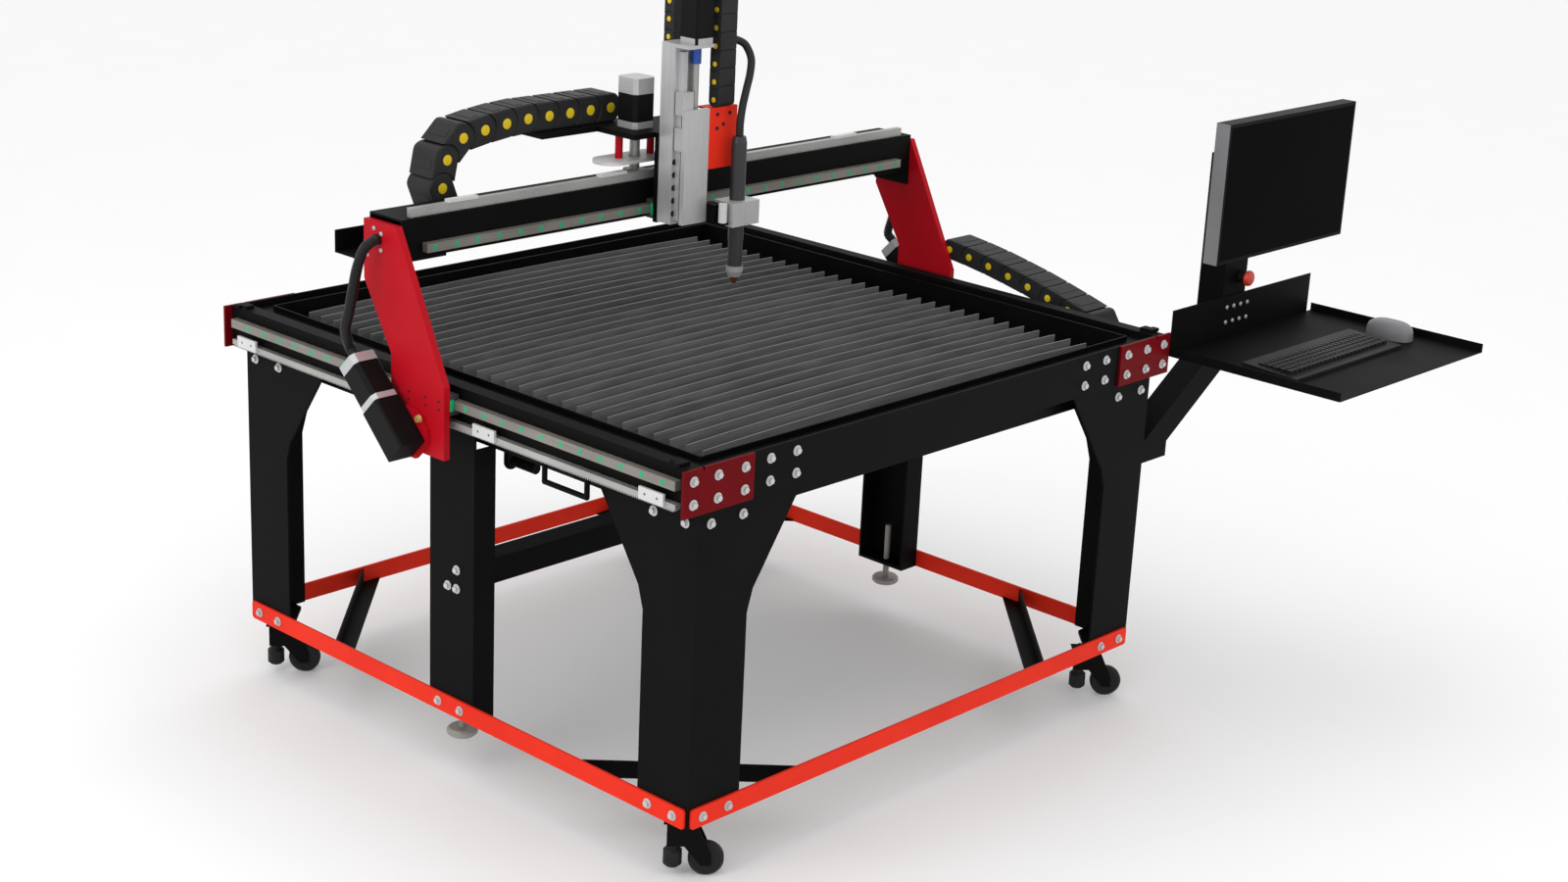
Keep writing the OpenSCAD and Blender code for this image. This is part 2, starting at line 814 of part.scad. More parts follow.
module pull_handle() color("#161616") translate([-handle_x, handle_y, apron_z]) union() {
    for (y = [0, handle_span]) {
        translate([0, y, -handle_drop]) cylinder(r = handle_r, h = handle_drop);
        translate([0, y, -handle_drop]) sphere(r = handle_r);
        translate([0, y, -handle_r / 2]) cylinder(r = 2 * handle_r, h = handle_r / 2);
    }
    translate([0, 0, -handle_drop]) rotate([-90, 0, 0]) cylinder(r = handle_r, h = handle_span);
}

// Casters: swivel head and fork, wheel, and levelling pad, each in the frame of its own stem
module at_caster(k) translate(caster_places[k]) rotate([0, 0, caster_turn]) children();

module fork_outline() polygon([
    [-pad_out - pad_sleeve_r, fork_top], [swivel_r, fork_top], [caster_trail + hub_r, wheel_r + hub_r],
    [caster_trail + hub_r, wheel_r - hub_r], [caster_trail - hub_r, wheel_r - hub_r],
    [-cheek_back, cheek_low], [-pad_out - pad_sleeve_r, cheek_low]]);

module caster_fork(k) color("#18181a") at_caster(k) difference() {
    union() {
        translate([0, 0, fork_top]) cylinder(r = swivel_r, h = swivel_h - run_gap);
        for (y = [-fork_half - fork_t, fork_half]) xz_plate(y, fork_t) fork_outline();
        span([-pad_out - pad_r, -fork_half - fork_t, fork_top - fork_t], [swivel_r, fork_half + fork_t,
            fork_top]);
        translate([caster_trail, fork_half + fork_t, wheel_r]) rotate([90, 0, 0])
            cylinder(r = axle_r, h = 2 * fork_half + 2 * fork_t);
    }
    translate([caster_trail, 0, wheel_r]) rotate([90, 0, 0])
        translate([0, 0, -fork_half]) difference() {
            cylinder(r = wheel_r + fork_gap, h = 2 * fork_half);
            translate([0, 0, -over]) cylinder(r = axle_r, h = 2 * fork_half + 2 * over);
        }
    translate([-pad_out, 0, fork_top - fork_t - over])
        cylinder(r = pad_stud_r + seat_gap, h = fork_t + 2 * over);
}

module caster_wheel(k) color("#1e1e20") at_caster(k) translate([caster_trail, 0, wheel_r]) rotate([90,
    0, 0])
    rotate_extrude() polygon([
        [axle_r + seat_gap, -wheel_w / 2], [hub_r, -wheel_w / 2], [hub_r, -wheel_w / 2 + fork_gap],
        [wheel_r - tread_round, -wheel_w / 2 + fork_gap], [wheel_r, -wheel_w / 2 + fork_gap + tread_round],
        [wheel_r, wheel_w / 2 - fork_gap - tread_round], [wheel_r - tread_round, wheel_w / 2 - fork_gap],
        [hub_r, wheel_w / 2 - fork_gap], [hub_r, wheel_w / 2], [axle_r + seat_gap, wheel_w / 2]]);

// A rubber pad on a sleeve, whose stud screws through the fork's top plate
module caster_pad(k) color("#1b1b1d") at_caster(k) translate([-pad_out, 0, 0]) rotate_extrude() polygon([
    [0, pad_lift], [pad_r - pad_round, pad_lift], [pad_r, pad_lift + pad_round],
    [pad_r, pad_lift + pad_h - pad_round], [pad_r - pad_round, pad_lift + pad_h],
    [pad_sleeve_r, pad_lift + pad_h], [pad_sleeve_r, pad_sleeve_top], [pad_stud_r, pad_sleeve_top],
    [pad_stud_r, fork_top + pad_stud_over], [0, fork_top + pad_stud_over]]);

module levelling_foot(x) color("#8f8c86") translate([x, mid_y, foot_lift])
    rotate_extrude() polygon([
        [0, 0], [foot_d / 2 - foot_pad_round, 0], [foot_d / 2, foot_pad_round],
        [foot_d / 2, foot_pad_h - foot_pad_round], [foot_d / 2 - foot_pad_round, foot_pad_h],
        [stud_r, foot_pad_h], [stud_r, leg_z + foot_plate_t - foot_lift + foot_stud_over],
        [0, leg_z + foot_plate_t - foot_lift + foot_stud_over]]);

// Gantry
module plate_outline() polygon([
    [gantry_y - plate_front, plate_low], [gantry_y + plate_back, plate_low],
    [gantry_y + plate_back, plate_rear_knee_z], [gantry_y + gantry_d, plate_rear_up_z],
    [gantry_y + gantry_d, plate_top_z], [gantry_y, plate_top_z],
    [gantry_y - plate_front, plate_knee_z]]);

module gantry_plates() color("#b0101c") right_too() difference() {
    yz_plate(-plate_out, gantry_plate_t) plate_outline();
    translate([-plate_out - over, drive_y, drive_z]) rotate([0, 90, 0])
        cylinder(r = pinion_hub_r + drive_hole_gap, h = gantry_plate_t + 2 * over);
}

module gantry_beam() color("#0d0d0f") {
    box_tube_x([-plate_in, gantry_y, gantry_low], [table_w + plate_in, gantry_y + gantry_d,
        gantry_top], gantry_wall);
    right_too() union() {
        span([-plate_in, gantry_y, gantry_low - end_bracket_t],
             [-plate_in + end_bracket_l, gantry_y + gantry_d, gantry_low - join_gap]);
        span([-plate_in, gantry_y, gantry_low - end_bracket_drop],
             [-plate_in + end_bracket_t, gantry_y + gantry_d, gantry_low - join_gap]);
    }
    translate([-plate_in - chain_tray_over, gantry_y + gantry_d + join_gap,
        x_chain_low - chain_tray_t]) difference() {
        cube([chain_tray_len, chain_tray_w, chain_tray_h]);
        translate([-over, chain_tray_t, chain_tray_t])
            cube([chain_tray_len + 2 * over, chain_tray_w - 2 * chain_tray_t, chain_tray_h]);
    }
}

module x_rail() color("#5c5752") span(
    [table_w / 2 - x_rail_len / 2, gantry_y - rail_h, x_rail_z - rail_w / 2],
    [table_w / 2 + x_rail_len / 2, gantry_y, x_rail_z + rail_w / 2]);

module x_rack() {
    color("#8a8782") translate([x_pinion_x, x_rack_pitch_y, gantry_top]) linear_extrude(x_rack_h)
        mirror([0, 1, 0]) rack_outline(x_rack_trim - plate_in - x_pinion_x,
                                       table_w + plate_in - x_rack_trim - x_pinion_x, rack_bar);
    color("#dcdcda") for (s = x_clamp_shares)
        span([s * table_w - x_clamp_l / 2, gantry_y + x_rack_in / 2, gantry_top + x_rack_h + join_gap],
             [s * table_w + x_clamp_l / 2, gantry_y + x_rack_in + rack_bar,
                 gantry_top + x_rack_h + x_clamp_h / 2]);
}

// A bearing block astride a rail along Y, on a seat at x = 0, reaching towards -X
module rail_block(length, wide, tall, lift, bar_w, bar_h) difference() {
    span([-tall, 0, -wide / 2], [-lift, length, wide / 2]);
    span([-bar_h - run_gap, -over, -bar_w / 2 - run_gap], [0, length + over, bar_w / 2 + run_gap]);
}

module y_bearing_blocks() color("#26282a") right_too()
    for (y = [block_y_front, block_y_back]) translate([-beam_w, y, rail_z])
        rail_block(block_l, block_w, block_h, block_lift, rail_w, rail_h);

// Motor and gearbox outlines, along +Z from z = 0
module square_body(side, length, inset) linear_extrude(length) difference() {
    square(side, center = true);
    for (a = [0:3]) rotate(a * 90) translate([side / 2, side / 2]) rotate(45) square(inset, center = true);
}

module at_drive() translate([-plate_out - drive_plate_t - motor_side / 2, drive_y, drive_z])
    rotate([-90 + drive_tilt_angle, 0, 0]) translate([0, 0, -gearbox_low]) children();

module y_motors() right_too() {
    color("#141416") at_drive() square_body(motor_side, gearbox_l, motor_round);
    color("#c9cacc") at_drive() translate([0, 0, gearbox_l + join_gap])
        square_body(motor_side, motor_l - join_gap, 2 * motor_round);
}

module y_motor_plates() color("#c4122a") right_too() difference() {
    translate([-plate_out - drive_plate_t, drive_y, drive_z]) rotate([drive_tilt_angle, 0, 0])
        rotate([90, 0, 90])
        linear_extrude(drive_plate_t) intersection() {
            square(drive_plate_side, center = true);
            rotate(45) square(drive_plate_side * drive_corner_share, center = true);
        }
    translate([-plate_out - drive_plate_t - over, drive_y, drive_z]) rotate([0, 90, 0])
        cylinder(r = pinion_hub_r + drive_hole_gap, h = drive_plate_t + 2 * over);
}

// The pinion hub runs from the motor face through the plates to the rack
module y_pinion_left() color("#77736c") translate([-plate_out - drive_plate_t + pinion_hub_gap,
    drive_y, drive_z]) {
    rotate([0, 90, 0]) cylinder(r = pinion_hub_r, h = drive_plate_t + gantry_plate_t + block_h - gear_face);
    translate([drive_plate_t + gantry_plate_t + block_h - gear_face - pinion_hub_gap, 0, 0])
        rotate([90, 0, 90]) linear_extrude(gear_face - pinion_clear) pinion_outline();
}

module y_pinion_right() translate([table_w, 0, 0]) mirror([1, 0, 0]) y_pinion_left();

// Cross carriage
module carriage_plate() color("#111113") span(
    [carriage_x, carriage_front, carriage_low], [carriage_x + carriage_w, carriage_back, motor_plate_top]);

module x_bearing_blocks() color("#26282a") for (s = [-1, 1])
    translate([carriage_x + carriage_w / 2 + s * (block_l + x_block_gap) / 2 - block_l / 2,
        gantry_y, x_rail_z]) mirror([1, -1, 0])
        rail_block(block_l, block_w, block_h, block_lift, rail_w, rail_h);

module x_motor_plate() {
    color("#121214") difference() {
        union() {
            span([x_pinion_x - swing_plate_w / 2, carriage_back, motor_plate_z],
                 [carriage_x + carriage_w, gantry_y + gantry_d, motor_plate_top]);
            span([x_pinion_x - motor_side / 2 - chain_arm_l, gantry_y + gantry_d - chain_arm_over,
                motor_plate_z],
                 [x_pinion_x + motor_side / 2, gantry_y + gantry_d + chain_arm_w, motor_plate_top]);
            span([z_chain_x + z_link_w, z_chain_rear_y - chain_post_w / 2, motor_plate_top],
                 [z_chain_x + z_link_w + chain_post_t, z_chain_rear_y + chain_post_w / 2,
                  motor_plate_top + chain_post_h]);
        }
        translate([x_pinion_x, x_pinion_y, motor_plate_z - over])
            cylinder(r = pinion_hub_r + drive_hole_gap, h = motor_plate_t + 2 * over);
    }
    color("#c9c9c7") difference() {
        translate([x_pinion_x, x_pinion_y, swing_plate_z]) union() {
            span([-swing_plate_w / 2, -swing_plate_d / 2, 0], [swing_plate_w / 2, swing_plate_d / 2,
                swing_plate_t]);
            translate([-swing_plate_w / 2, 0, 0]) cylinder(r = swing_plate_d / 2, h = swing_plate_t);
        }
        translate([x_pinion_x, x_pinion_y, swing_plate_z - over])
            cylinder(r = pinion_hub_r + drive_hole_gap, h = swing_plate_t + 2 * over);
    }
    color("#b31322") for (s = [-1, 1]) translate([x_pinion_x + s * swing_plate_w / 3, x_pinion_y, 0])
        translate([0, 0, swing_plate_z + swing_plate_t + join_gap])
            cylinder(r = swing_post_r, h = motor_plate_z - swing_plate_z - swing_plate_t - 2 * join_gap);
}

module x_motor() color("#c9cacc") translate([x_pinion_x, x_pinion_y, motor_plate_top])
    square_body(motor_side, motor_l, 2 * motor_round);

module x_pinion() color("#77736c") translate([x_pinion_x, x_pinion_y, 0]) {
    translate([0, 0, x_pinion_z]) linear_extrude(gear_face) rotate(180) pinion_outline();
    translate([0, 0, x_pinion_z + gear_face])
        cylinder(r = pinion_hub_r, h = motor_plate_top - x_pinion_z - gear_face - run_gap);
}

// Lift
module z_channel() {
    color("#cfd0d2") difference() {
        union() {
            span([lift_x - lift_w / 2, lift_face, lift_low], [lift_x + lift_w / 2, lift_back, lift_top]);
            span([lift_x - lift_w / 2, lift_face - lift_cap_reach, lift_top],
                 [screw_x + lift_motor_side / 2, lift_back, lift_top + lift_cap_t]);
        }
        span([lift_x - lift_w / 2 + lift_wall, lift_face + lift_wall, lift_low - over],
             [lift_x + lift_w / 2 - lift_wall, lift_back + over, lift_top]);
        translate([screw_x, screw_y, lift_top - over])
            cylinder(r = coupling_r + drive_hole_gap, h = lift_cap_t + 2 * over);
    }
    color("#8b8883") span(
        [lift_x - lift_w / 2 + z_rail_in - z_rail_w / 2, lift_face - z_rail_h, lift_low + z_rail_trim],
        [lift_x - lift_w / 2 + z_rail_in + z_rail_w / 2, lift_face - join_gap, lift_top - z_rail_trim]);
}

module z_motor() color("#17171a") translate([screw_x, screw_y, lift_top + lift_cap_t])
    square_body(lift_motor_side, lift_motor_l, motor_round);

module z_screw() translate([screw_x, screw_y, 0]) {
    color("#b9bcc0") translate([0, 0, screw_low]) cylinder(r = screw_d / 2, h = lift_top - screw_low);
    color("#2a62b8") translate([0, 0, lift_top + lift_cap_t - lift_motor_gap - coupling_l])
        cylinder(r = coupling_r, h = coupling_l);
}

module z_plate() {
    color("#c5c7ca") span([lift_x - lift_w / 2, slide_front, slide_low],
                          [lift_x + lift_w / 2, slide_back, slide_top]);
    color("#e6e6e4") translate([screw_x, screw_y, slide_top - nut_drop - nut_h]) difference() {
        span([-nut_side / 2, slide_back + join_gap - screw_y, 0], [nut_side / 2,
            nut_side / 2 - nut_trim, nut_h]);
        translate([0, 0, -over]) cylinder(r = screw_d / 2 + seat_gap, h = nut_h + 2 * over);
    }
}

module z_bearing_blocks() color("#26282a") for (i = [0, 1])
    translate([lift_x - lift_w / 2 + z_rail_in, lift_face, z_block_top - z_block_l - i * z_block_step])
        rotate([90, 0, 90]) rail_block(z_block_l, z_block_w, z_block_h, z_block_lift, z_rail_w, z_rail_h);

module chain_bracket() color("#ff2d10") union() {
    far = bracket_x + bracket_w;
    high = bracket_low + bracket_h;
    span([bracket_x, slide_front, bracket_low], [far, slide_front + bracket_t, high]);
    span([far - bracket_t, slide_front, bracket_low], [far, slide_front + bracket_flange, high]);
    span([bracket_x, slide_front, high - bracket_t], [far, slide_front + bracket_flange, high]);
}

module torch_clamp() {
    arm_low = clamp_z + clamp_h / 2 - clamp_arm_h / 2;
    color("#d2d3d4") translate([torch_x, torch_y, clamp_z]) difference() {
        span([-clamp_side / 2 - clamp_ear, -clamp_side / 2, 0], [clamp_side / 2 + clamp_ear,
            clamp_side / 2, clamp_h]);
        translate([0, 0, -over]) cylinder(r = torch_d / 2 + seat_gap, h = clamp_h + 2 * over);
        span([-clamp_side, -clamp_split / 2, -over], [clamp_side, clamp_split / 2, clamp_h + over]);
    }
    color("#161618") union() {
        span([bracket_x, torch_y + clamp_split, arm_low],
             [torch_x - clamp_side / 2 - clamp_ear - join_gap, slide_back, arm_low + clamp_arm_h]);
        span([bracket_x, torch_y + clamp_split - 2 * probe_r, arm_low],
             [bracket_x + 2 * probe_r - clamp_split, torch_y + clamp_split, arm_low + probe_ledge]);
    }
    color("#ececea") translate([bracket_x + probe_r, torch_y - probe_r, arm_low + probe_ledge + join_gap])
        cylinder(r = probe_r - clamp_split, h = probe_h);
}

module torch() color("#3a3b3d") translate([torch_x, torch_y, 0]) rotate_extrude() polygon([
    [0, torch_low], [torch_tip_r * half, torch_low], [torch_tip_r, torch_low + torch_tip_l],
    [torch_cup_r * torch_cup_share, torch_low + torch_tip_l], [torch_cup_r,
        torch_low + torch_tip_l + torch_cup_l / 2],
    [torch_cup_r, torch_low + torch_tip_l + torch_cup_l], [torch_d / 2 - over,
        torch_low + torch_tip_l + torch_cup_l],
    [torch_d / 2 - over, torch_top - torch_l], [torch_d / 2, torch_top - torch_l],
    [torch_d / 2, torch_top - torch_cap_h], [torch_neck_r, torch_top], [0, torch_top]]);

// Drag chain links: a hollow strip with a round nose at its hinge and a hollow tail for the next nose
module link_outline(pitch, tall) difference() {
    union() {
        circle(r = tall / 2);
        translate([0, -tall / 2]) square([pitch - tall / 2 * chain_clip_share, tall]);
    }
    translate([pitch, 0]) circle(r = tall / 2 + chain_gap);
}

module chain_link(pitch, tall, wide) difference() {
    linear_extrude(wide) link_outline(pitch, tall);
    translate([-tall, -tall / 2 + chain_bar, chain_wall])
        cube([pitch + 2 * tall, tall - 2 * chain_bar, wide - 2 * chain_wall]);
}

// Points and headings of a chain from a list of turns, one for each link
function heading(turns, i, start) = i < 0 ? start : heading(turns, i - 1, start) + turns[i];
function hinge(turns, i, start, pitch) = i == 0 ? [0, 0] :
    hinge(turns, i - 1, start, pitch) + pitch * [cos(heading(turns, i - 1, start)), sin(heading(turns,
        i - 1, start))];

module chain(turns, start, pitch, tall, wide) for (i = [0:len(turns) - 1])
    translate(hinge(turns, i, start, pitch)) rotate(heading(turns, i, start)) chain_link(pitch, tall, wide);

function repeat(value, n) = [for (i = [0:n - 1]) value];

module x_chain() color("#232325") translate([x_chain_end, x_chain_y + x_link_w,
    motor_plate_top + x_link_h / 2])
    rotate([90, 0, 0]) chain(x_chain_turns, 180, x_link, x_link_h, x_link_w);

module y_chain() {
    color("#232325") translate([y_chain_x, y_chain_y, y_chain_z]) rotate([90, 0, 90])
        chain(y_chain_turns, 180, y_link, y_link_h, y_link_w);
    hook_z = y_chain_end[1] - y_link_h / 2 - join_gap;
    hook_x = table_w + y_chain_hook_in;
    color("#151517") translate([0, y_chain_end[0] - y_chain_hook_l / 2, 0]) union() {
        span([hook_x, 0, hook_z - y_chain_hook_t], [y_chain_x + y_link_w, y_chain_hook_l, hook_z]);
        span([hook_x, 0, hook_z - y_chain_hook_t], [hook_x + y_chain_hook_t, y_chain_hook_l, apron_z]);
    }
}

module z_chain() color("#232325") translate([z_chain_x, z_chain_y, bracket_low + bracket_h + z_link_h / 2])
    rotate([90, 0, 90]) chain(z_chain_turns, 90, z_link, z_link_h, z_link_w);

// Station
module station_arm() color("#121214") union() {
    span([table_w, arm_y, arm_plate_low], [arm_left, arm_y + arm_side, arm_plate_low + arm_plate_h]);
    difference() {
        xz_plate(arm_y, arm_side) arm_outline(table_w, 0);
        xz_plate(arm_y + arm_wall, arm_side - 2 * arm_wall) arm_outline(arm_left + arm_wall, arm_wall);
    }
}

// Side view of the stub and the rising tube from x0, drawn inwards by a wall
module arm_outline(x0, wall) {
    rise = tan(arm_rise_angle);
    thick = arm_side / cos(arm_rise_angle);
    low = arm_plate_low + wall;
    knee = arm_left + arm_stub - wall;
    knee_z = arm_plate_low + arm_stub_h;
    top = tray_z - wall;
    foot = knee_z - rise * arm_stub + thick - wall / cos(arm_rise_angle);
    polygon([
        [x0, low], [knee, low], [knee, knee_z + wall * rise],
        [arm_left + arm_stub + (top - knee_z) / rise - wall / sin(arm_rise_angle), top],
        [arm_left + (top - foot) / rise, top], [x0, foot + (x0 - arm_left) * rise]]);
}

module tray() color("#111112") union() {
    span([tray_left, tray_back - tray_d, tray_z], [tray_left + tray_w, tray_back, tray_z + tray_t]);
    for (x = [tray_left, tray_left + tray_w - tray_t])
        span([x, tray_back - tray_d, tray_z], [x + tray_t, tray_back, tray_z + tray_lip]);
    span([tray_left + tray_back_inset, tray_back - tray_t, tray_z],
         [tray_left + tray_w - tray_back_inset, tray_back, tray_z + tray_back_h]);
}

module monitor_post() {
    color("#141416") difference() {
        union() {
            difference() {
                span([post_x - post_w / 2, tray_back, tray_z], [post_x + post_w / 2,
                    tray_back + post_d, post_top]);
                span([post_x - post_w / 2 + post_wall, tray_back + post_wall, tray_z + post_wall],
                     [post_x + post_w / 2 - post_wall, tray_back + post_d - post_wall, post_top + over]);
            }
            span([post_x - vesa_side / 2, tray_back - monitor_stand, monitor_z - vesa_side / 2],
                 [post_x + vesa_side / 2, tray_back - monitor_stand + vesa_t, monitor_z + vesa_side / 2]);
            span([post_x - vesa_side / 4, tray_back - monitor_stand, monitor_z - vesa_side / 4],
                 [post_x + vesa_side / 4, tray_back, monitor_z + vesa_side / 4]);
        }
        translate([post_x + estop_x_out, tray_back + post_wall + over, estop_z]) rotate([90, 0, 0])
            cylinder(r = estop_stem_r + run_gap, h = post_wall + 2 * over);
    }
    color("#3a3a3c") translate([post_x + estop_x_out, tray_back - join_gap, estop_z]) rotate([90, 0,
        0]) difference() {
        cylinder(r = estop_collar_r, h = estop_collar_h);
        translate([0, 0, -over]) cylinder(r = estop_stem_r + seat_gap, h = estop_collar_h + 2 * over);
    }
}

module monitor() {
    color("#1b1b1d") translate([post_x, tray_back - monitor_stand - monitor_t, monitor_z]) difference() {
        span([-monitor_w / 2, 0, -monitor_h / 2], [monitor_w / 2, monitor_t, monitor_h / 2]);
        span([-monitor_w / 2 + monitor_bezel, -over, -monitor_h / 2 + monitor_bezel],
             [monitor_w / 2 - monitor_bezel, monitor_glass_in, monitor_h / 2 - monitor_bezel]);
    }
}

module estop_button() color("#e8381f") translate([post_x + estop_x_out, tray_back, estop_z])
    rotate([90, 0, 0]) union() {
    translate([0, 0, -post_wall]) cylinder(r = estop_stem_r,
        h = post_wall + estop_collar_h + estop_travel + run_gap);
    translate([0, 0, estop_collar_h + estop_travel + run_gap]) rotate_extrude() polygon(concat(
        [[0, 0]], [for (s = estop_cap_shares) [s[0] * estop_r, s[1] * estop_cap_h]], [[0, estop_cap_h]]));
}

module keyboard_and_mouse() {
    deck = tray_z + tray_t;
    left = tray_left + keyboard_left;
    back = tray_back - keyboard_back;
    color("#1c1c1e") union() {
        translate([left, 0, deck]) yz_plate(0, keyboard_w) polygon([
            [back - keyboard_d, 0], [back, 0], [back, keyboard_h], [back - keyboard_d, keyboard_h / 2]]);
        for (r = [0:key_row_count - 1]) for (c = [0:key_col_count - 1])
            translate([left + (keyboard_w - key_col_count * key_step) / 2 + c * key_step,
                       back - keyboard_d + (keyboard_d - key_row_count * key_step) / 2 + r * key_step,
                           deck])
                cube([key_side, key_side, keyboard_h + key_h * half]);
    }
    color("#5a5b5e") translate([left + keyboard_w + mouse_out, back - keyboard_d / 2, deck]) union() {
        linear_extrude(mouse_h * mouse_side_share) mouse_outline(0);
        linear_extrude(mouse_h) mouse_outline(mouse_step);
    }
}

// Plan of the mouse, drawn inwards by a step
module mouse_outline(step) union() {
    for (y = [-1, 1]) translate([0, y * (mouse_l - mouse_w) / 2]) circle(r = mouse_w / 2 - step);
    square([mouse_w - 2 * step, mouse_l - mouse_w], center = true);
}

// Cords: rings swept along a route, with parallel frames
function unit(v) = v / norm(v);
function route_point(route, t) = let (n = len(route) - 1, s = t * n, i = min(floor(s), n - 1), f = s - i,
    p0 = route[max(i - 1, 0)], p1 = route[i], p2 = route[i + 1], p3 = route[min(i + 2, n)])
    half * ((2 * p1) + (p2 - p0) * f + (2 * p0 - 5 * p1 + 4 * p2 - p3) * f * f
        + (3 * p1 - p0 - 3 * p2 + p3) * f * f * f);
function route_way(route, t) = let (d = half / len(route) / len(route))
    unit(route_point(route, min(1, t + d)) - route_point(route, max(0, t - d)));
function ring(route, t, r, sides, side_way) = let (p = route_point(route, t), w = route_way(route, t),
    a = unit(cross(side_way, w)), b = cross(w, a))
    [for (k = [0:sides - 1]) p + r * (cos(360 * k / sides) * a + sin(360 * k / sides) * b)];

// A closed tube from rings of equal count
module swept(rings) {
    n = len(rings[0]);
    m = len(rings);
    polyhedron([for (r = rings) each r], concat(
        [for (i = [0:m - 2]) for (k = [0:n - 1]) each [
            [i * n + k, (i + 1) * n + k, (i + 1) * n + (k + 1) % n],
            [i * n + k, (i + 1) * n + (k + 1) % n, i * n + (k + 1) % n]]],
        [for (k = [1:n - 2]) [0, k, k + 1]],
        [for (k = [1:n - 2]) [(m - 1) * n, (m - 1) * n + k + 1, (m - 1) * n + k]]));
}

// A tube whose rings run out along the skin and back along the bore
module swept_loop(rings) {
    n = len(rings[0]);
    m = len(rings);
    polyhedron([for (r = rings) each r], [for (i = [0:m - 1]) for (k = [0:n - 1])
        let (j = (i + 1) % m) each [
        [i * n + k, j * n + k, j * n + (k + 1) % n], [i * n + k, j * n + (k + 1) % n,
            i * n + (k + 1) % n]]]);
}

module torch_lead() color("#2b2b2d")
    swept([for (i = [0:lead_ring_count]) ring(lead_route, i / lead_ring_count, lead_r, cord_side_count,
        lead_way)]);

// The ribs stand between grooves, and both ends run plain
module conduit() swept_loop(concat(
    [for (i = [0:conduit_step_count]) for (s = [0, 1])
        ring(conduit_route, (i + s * half) / (conduit_step_count + half),
            (s == 1 && i > 1 && i < conduit_step_count - 1) ? conduit_r - conduit_groove : conduit_r,
            rib_side_count, conduit_way)],
    [for (i = [conduit_step_count:-1:0])
        ring(conduit_route, i / conduit_step_count, conduit_bore_r, rib_side_count, conduit_way)]));

module motor_conduits() color("#202022") right_too() conduit();

module at_origin() translate([-mid[0], -mid[1], 0]) children();

at_origin() corner_legs();
at_origin() middle_legs();
at_origin() aprons();
at_origin() side_beams();
at_origin() water_pan();
at_origin() slats();
at_origin() stretchers();
at_origin() floor_braces();
at_origin() y_rails();
at_origin() y_racks();
at_origin() corner_plates();
at_origin() frame_bolts();
at_origin() pull_handle();
at_origin() station_arm();
at_origin() tray();
at_origin() monitor_post();
at_origin() monitor();
at_origin() keyboard_and_mouse();
at_origin() estop_button();
at_origin() caster_fork(0);  // caster_fork_front_left
at_origin() caster_fork(1);  // caster_fork_front_right
at_origin() caster_fork(2);  // caster_fork_back_left
at_origin() caster_fork(3);  // caster_fork_back_right
at_origin() caster_wheel(0);  // caster_wheel_front_left
at_origin() caster_wheel(1);  // caster_wheel_front_right
at_origin() caster_wheel(2);  // caster_wheel_back_left
at_origin() caster_wheel(3);  // caster_wheel_back_right
at_origin() caster_pad(0);  // caster_pad_front_left
at_origin() caster_pad(1);  // caster_pad_front_right
at_origin() caster_pad(2);  // caster_pad_back_left
at_origin() caster_pad(3);  // caster_pad_back_right
at_origin() levelling_foot(foot_x);  // levelling_foot_left
at_origin() levelling_foot(table_w - foot_x);  // levelling_foot_right
at_origin() gantry_beam();
at_origin() gantry_plates();
at_origin() x_rail();
at_origin() x_rack();
at_origin() y_bearing_blocks();
at_origin() y_motors();
at_origin() y_motor_plates();
at_origin() y_pinion_left();
at_origin() y_pinion_right();
at_origin() carriage_plate();
at_origin() x_bearing_blocks();
at_origin() x_motor_plate();
at_origin() x_motor();
at_origin() x_pinion();
at_origin() z_channel();
at_origin() z_motor();
at_origin() z_screw();
at_origin() z_plate();
at_origin() z_bearing_blocks();
at_origin() chain_bracket();
at_origin() torch_clamp();
at_origin() torch();
at_origin() x_chain();
at_origin() y_chain();
at_origin() z_chain();
at_origin() torch_lead();
at_origin() motor_conduits();
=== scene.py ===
import math
from types import SimpleNamespace

import bmesh
import bpy
from mathutils import Euler, Matrix, Vector


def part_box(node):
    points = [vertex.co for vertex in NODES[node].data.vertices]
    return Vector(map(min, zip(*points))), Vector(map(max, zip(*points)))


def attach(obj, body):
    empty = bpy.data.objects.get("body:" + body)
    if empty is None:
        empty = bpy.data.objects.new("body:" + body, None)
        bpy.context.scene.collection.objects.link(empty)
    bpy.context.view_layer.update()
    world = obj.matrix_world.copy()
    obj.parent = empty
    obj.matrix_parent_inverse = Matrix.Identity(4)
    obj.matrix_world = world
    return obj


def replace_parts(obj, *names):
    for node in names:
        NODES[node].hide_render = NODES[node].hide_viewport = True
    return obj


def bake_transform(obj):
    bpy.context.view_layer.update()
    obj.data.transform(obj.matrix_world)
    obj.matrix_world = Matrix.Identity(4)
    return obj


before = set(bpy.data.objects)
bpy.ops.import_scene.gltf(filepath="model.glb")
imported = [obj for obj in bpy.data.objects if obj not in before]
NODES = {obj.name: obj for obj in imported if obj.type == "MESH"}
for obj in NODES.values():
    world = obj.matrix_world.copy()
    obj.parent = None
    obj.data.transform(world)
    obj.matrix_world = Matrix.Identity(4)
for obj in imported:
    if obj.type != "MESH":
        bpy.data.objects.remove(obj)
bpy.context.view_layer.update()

# Places are in millimetres from the front left leg's outer corner on the floor
# MID is the place of the row frame's origin
legs_low, legs_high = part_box("corner_legs")
MID = [round(-v * 1000, 2) for v in legs_low[:2]]
TABLE_W, TABLE_D = [round((b - a) * 1000, 2) for a, b in zip(legs_low[:2], legs_high[:2])]
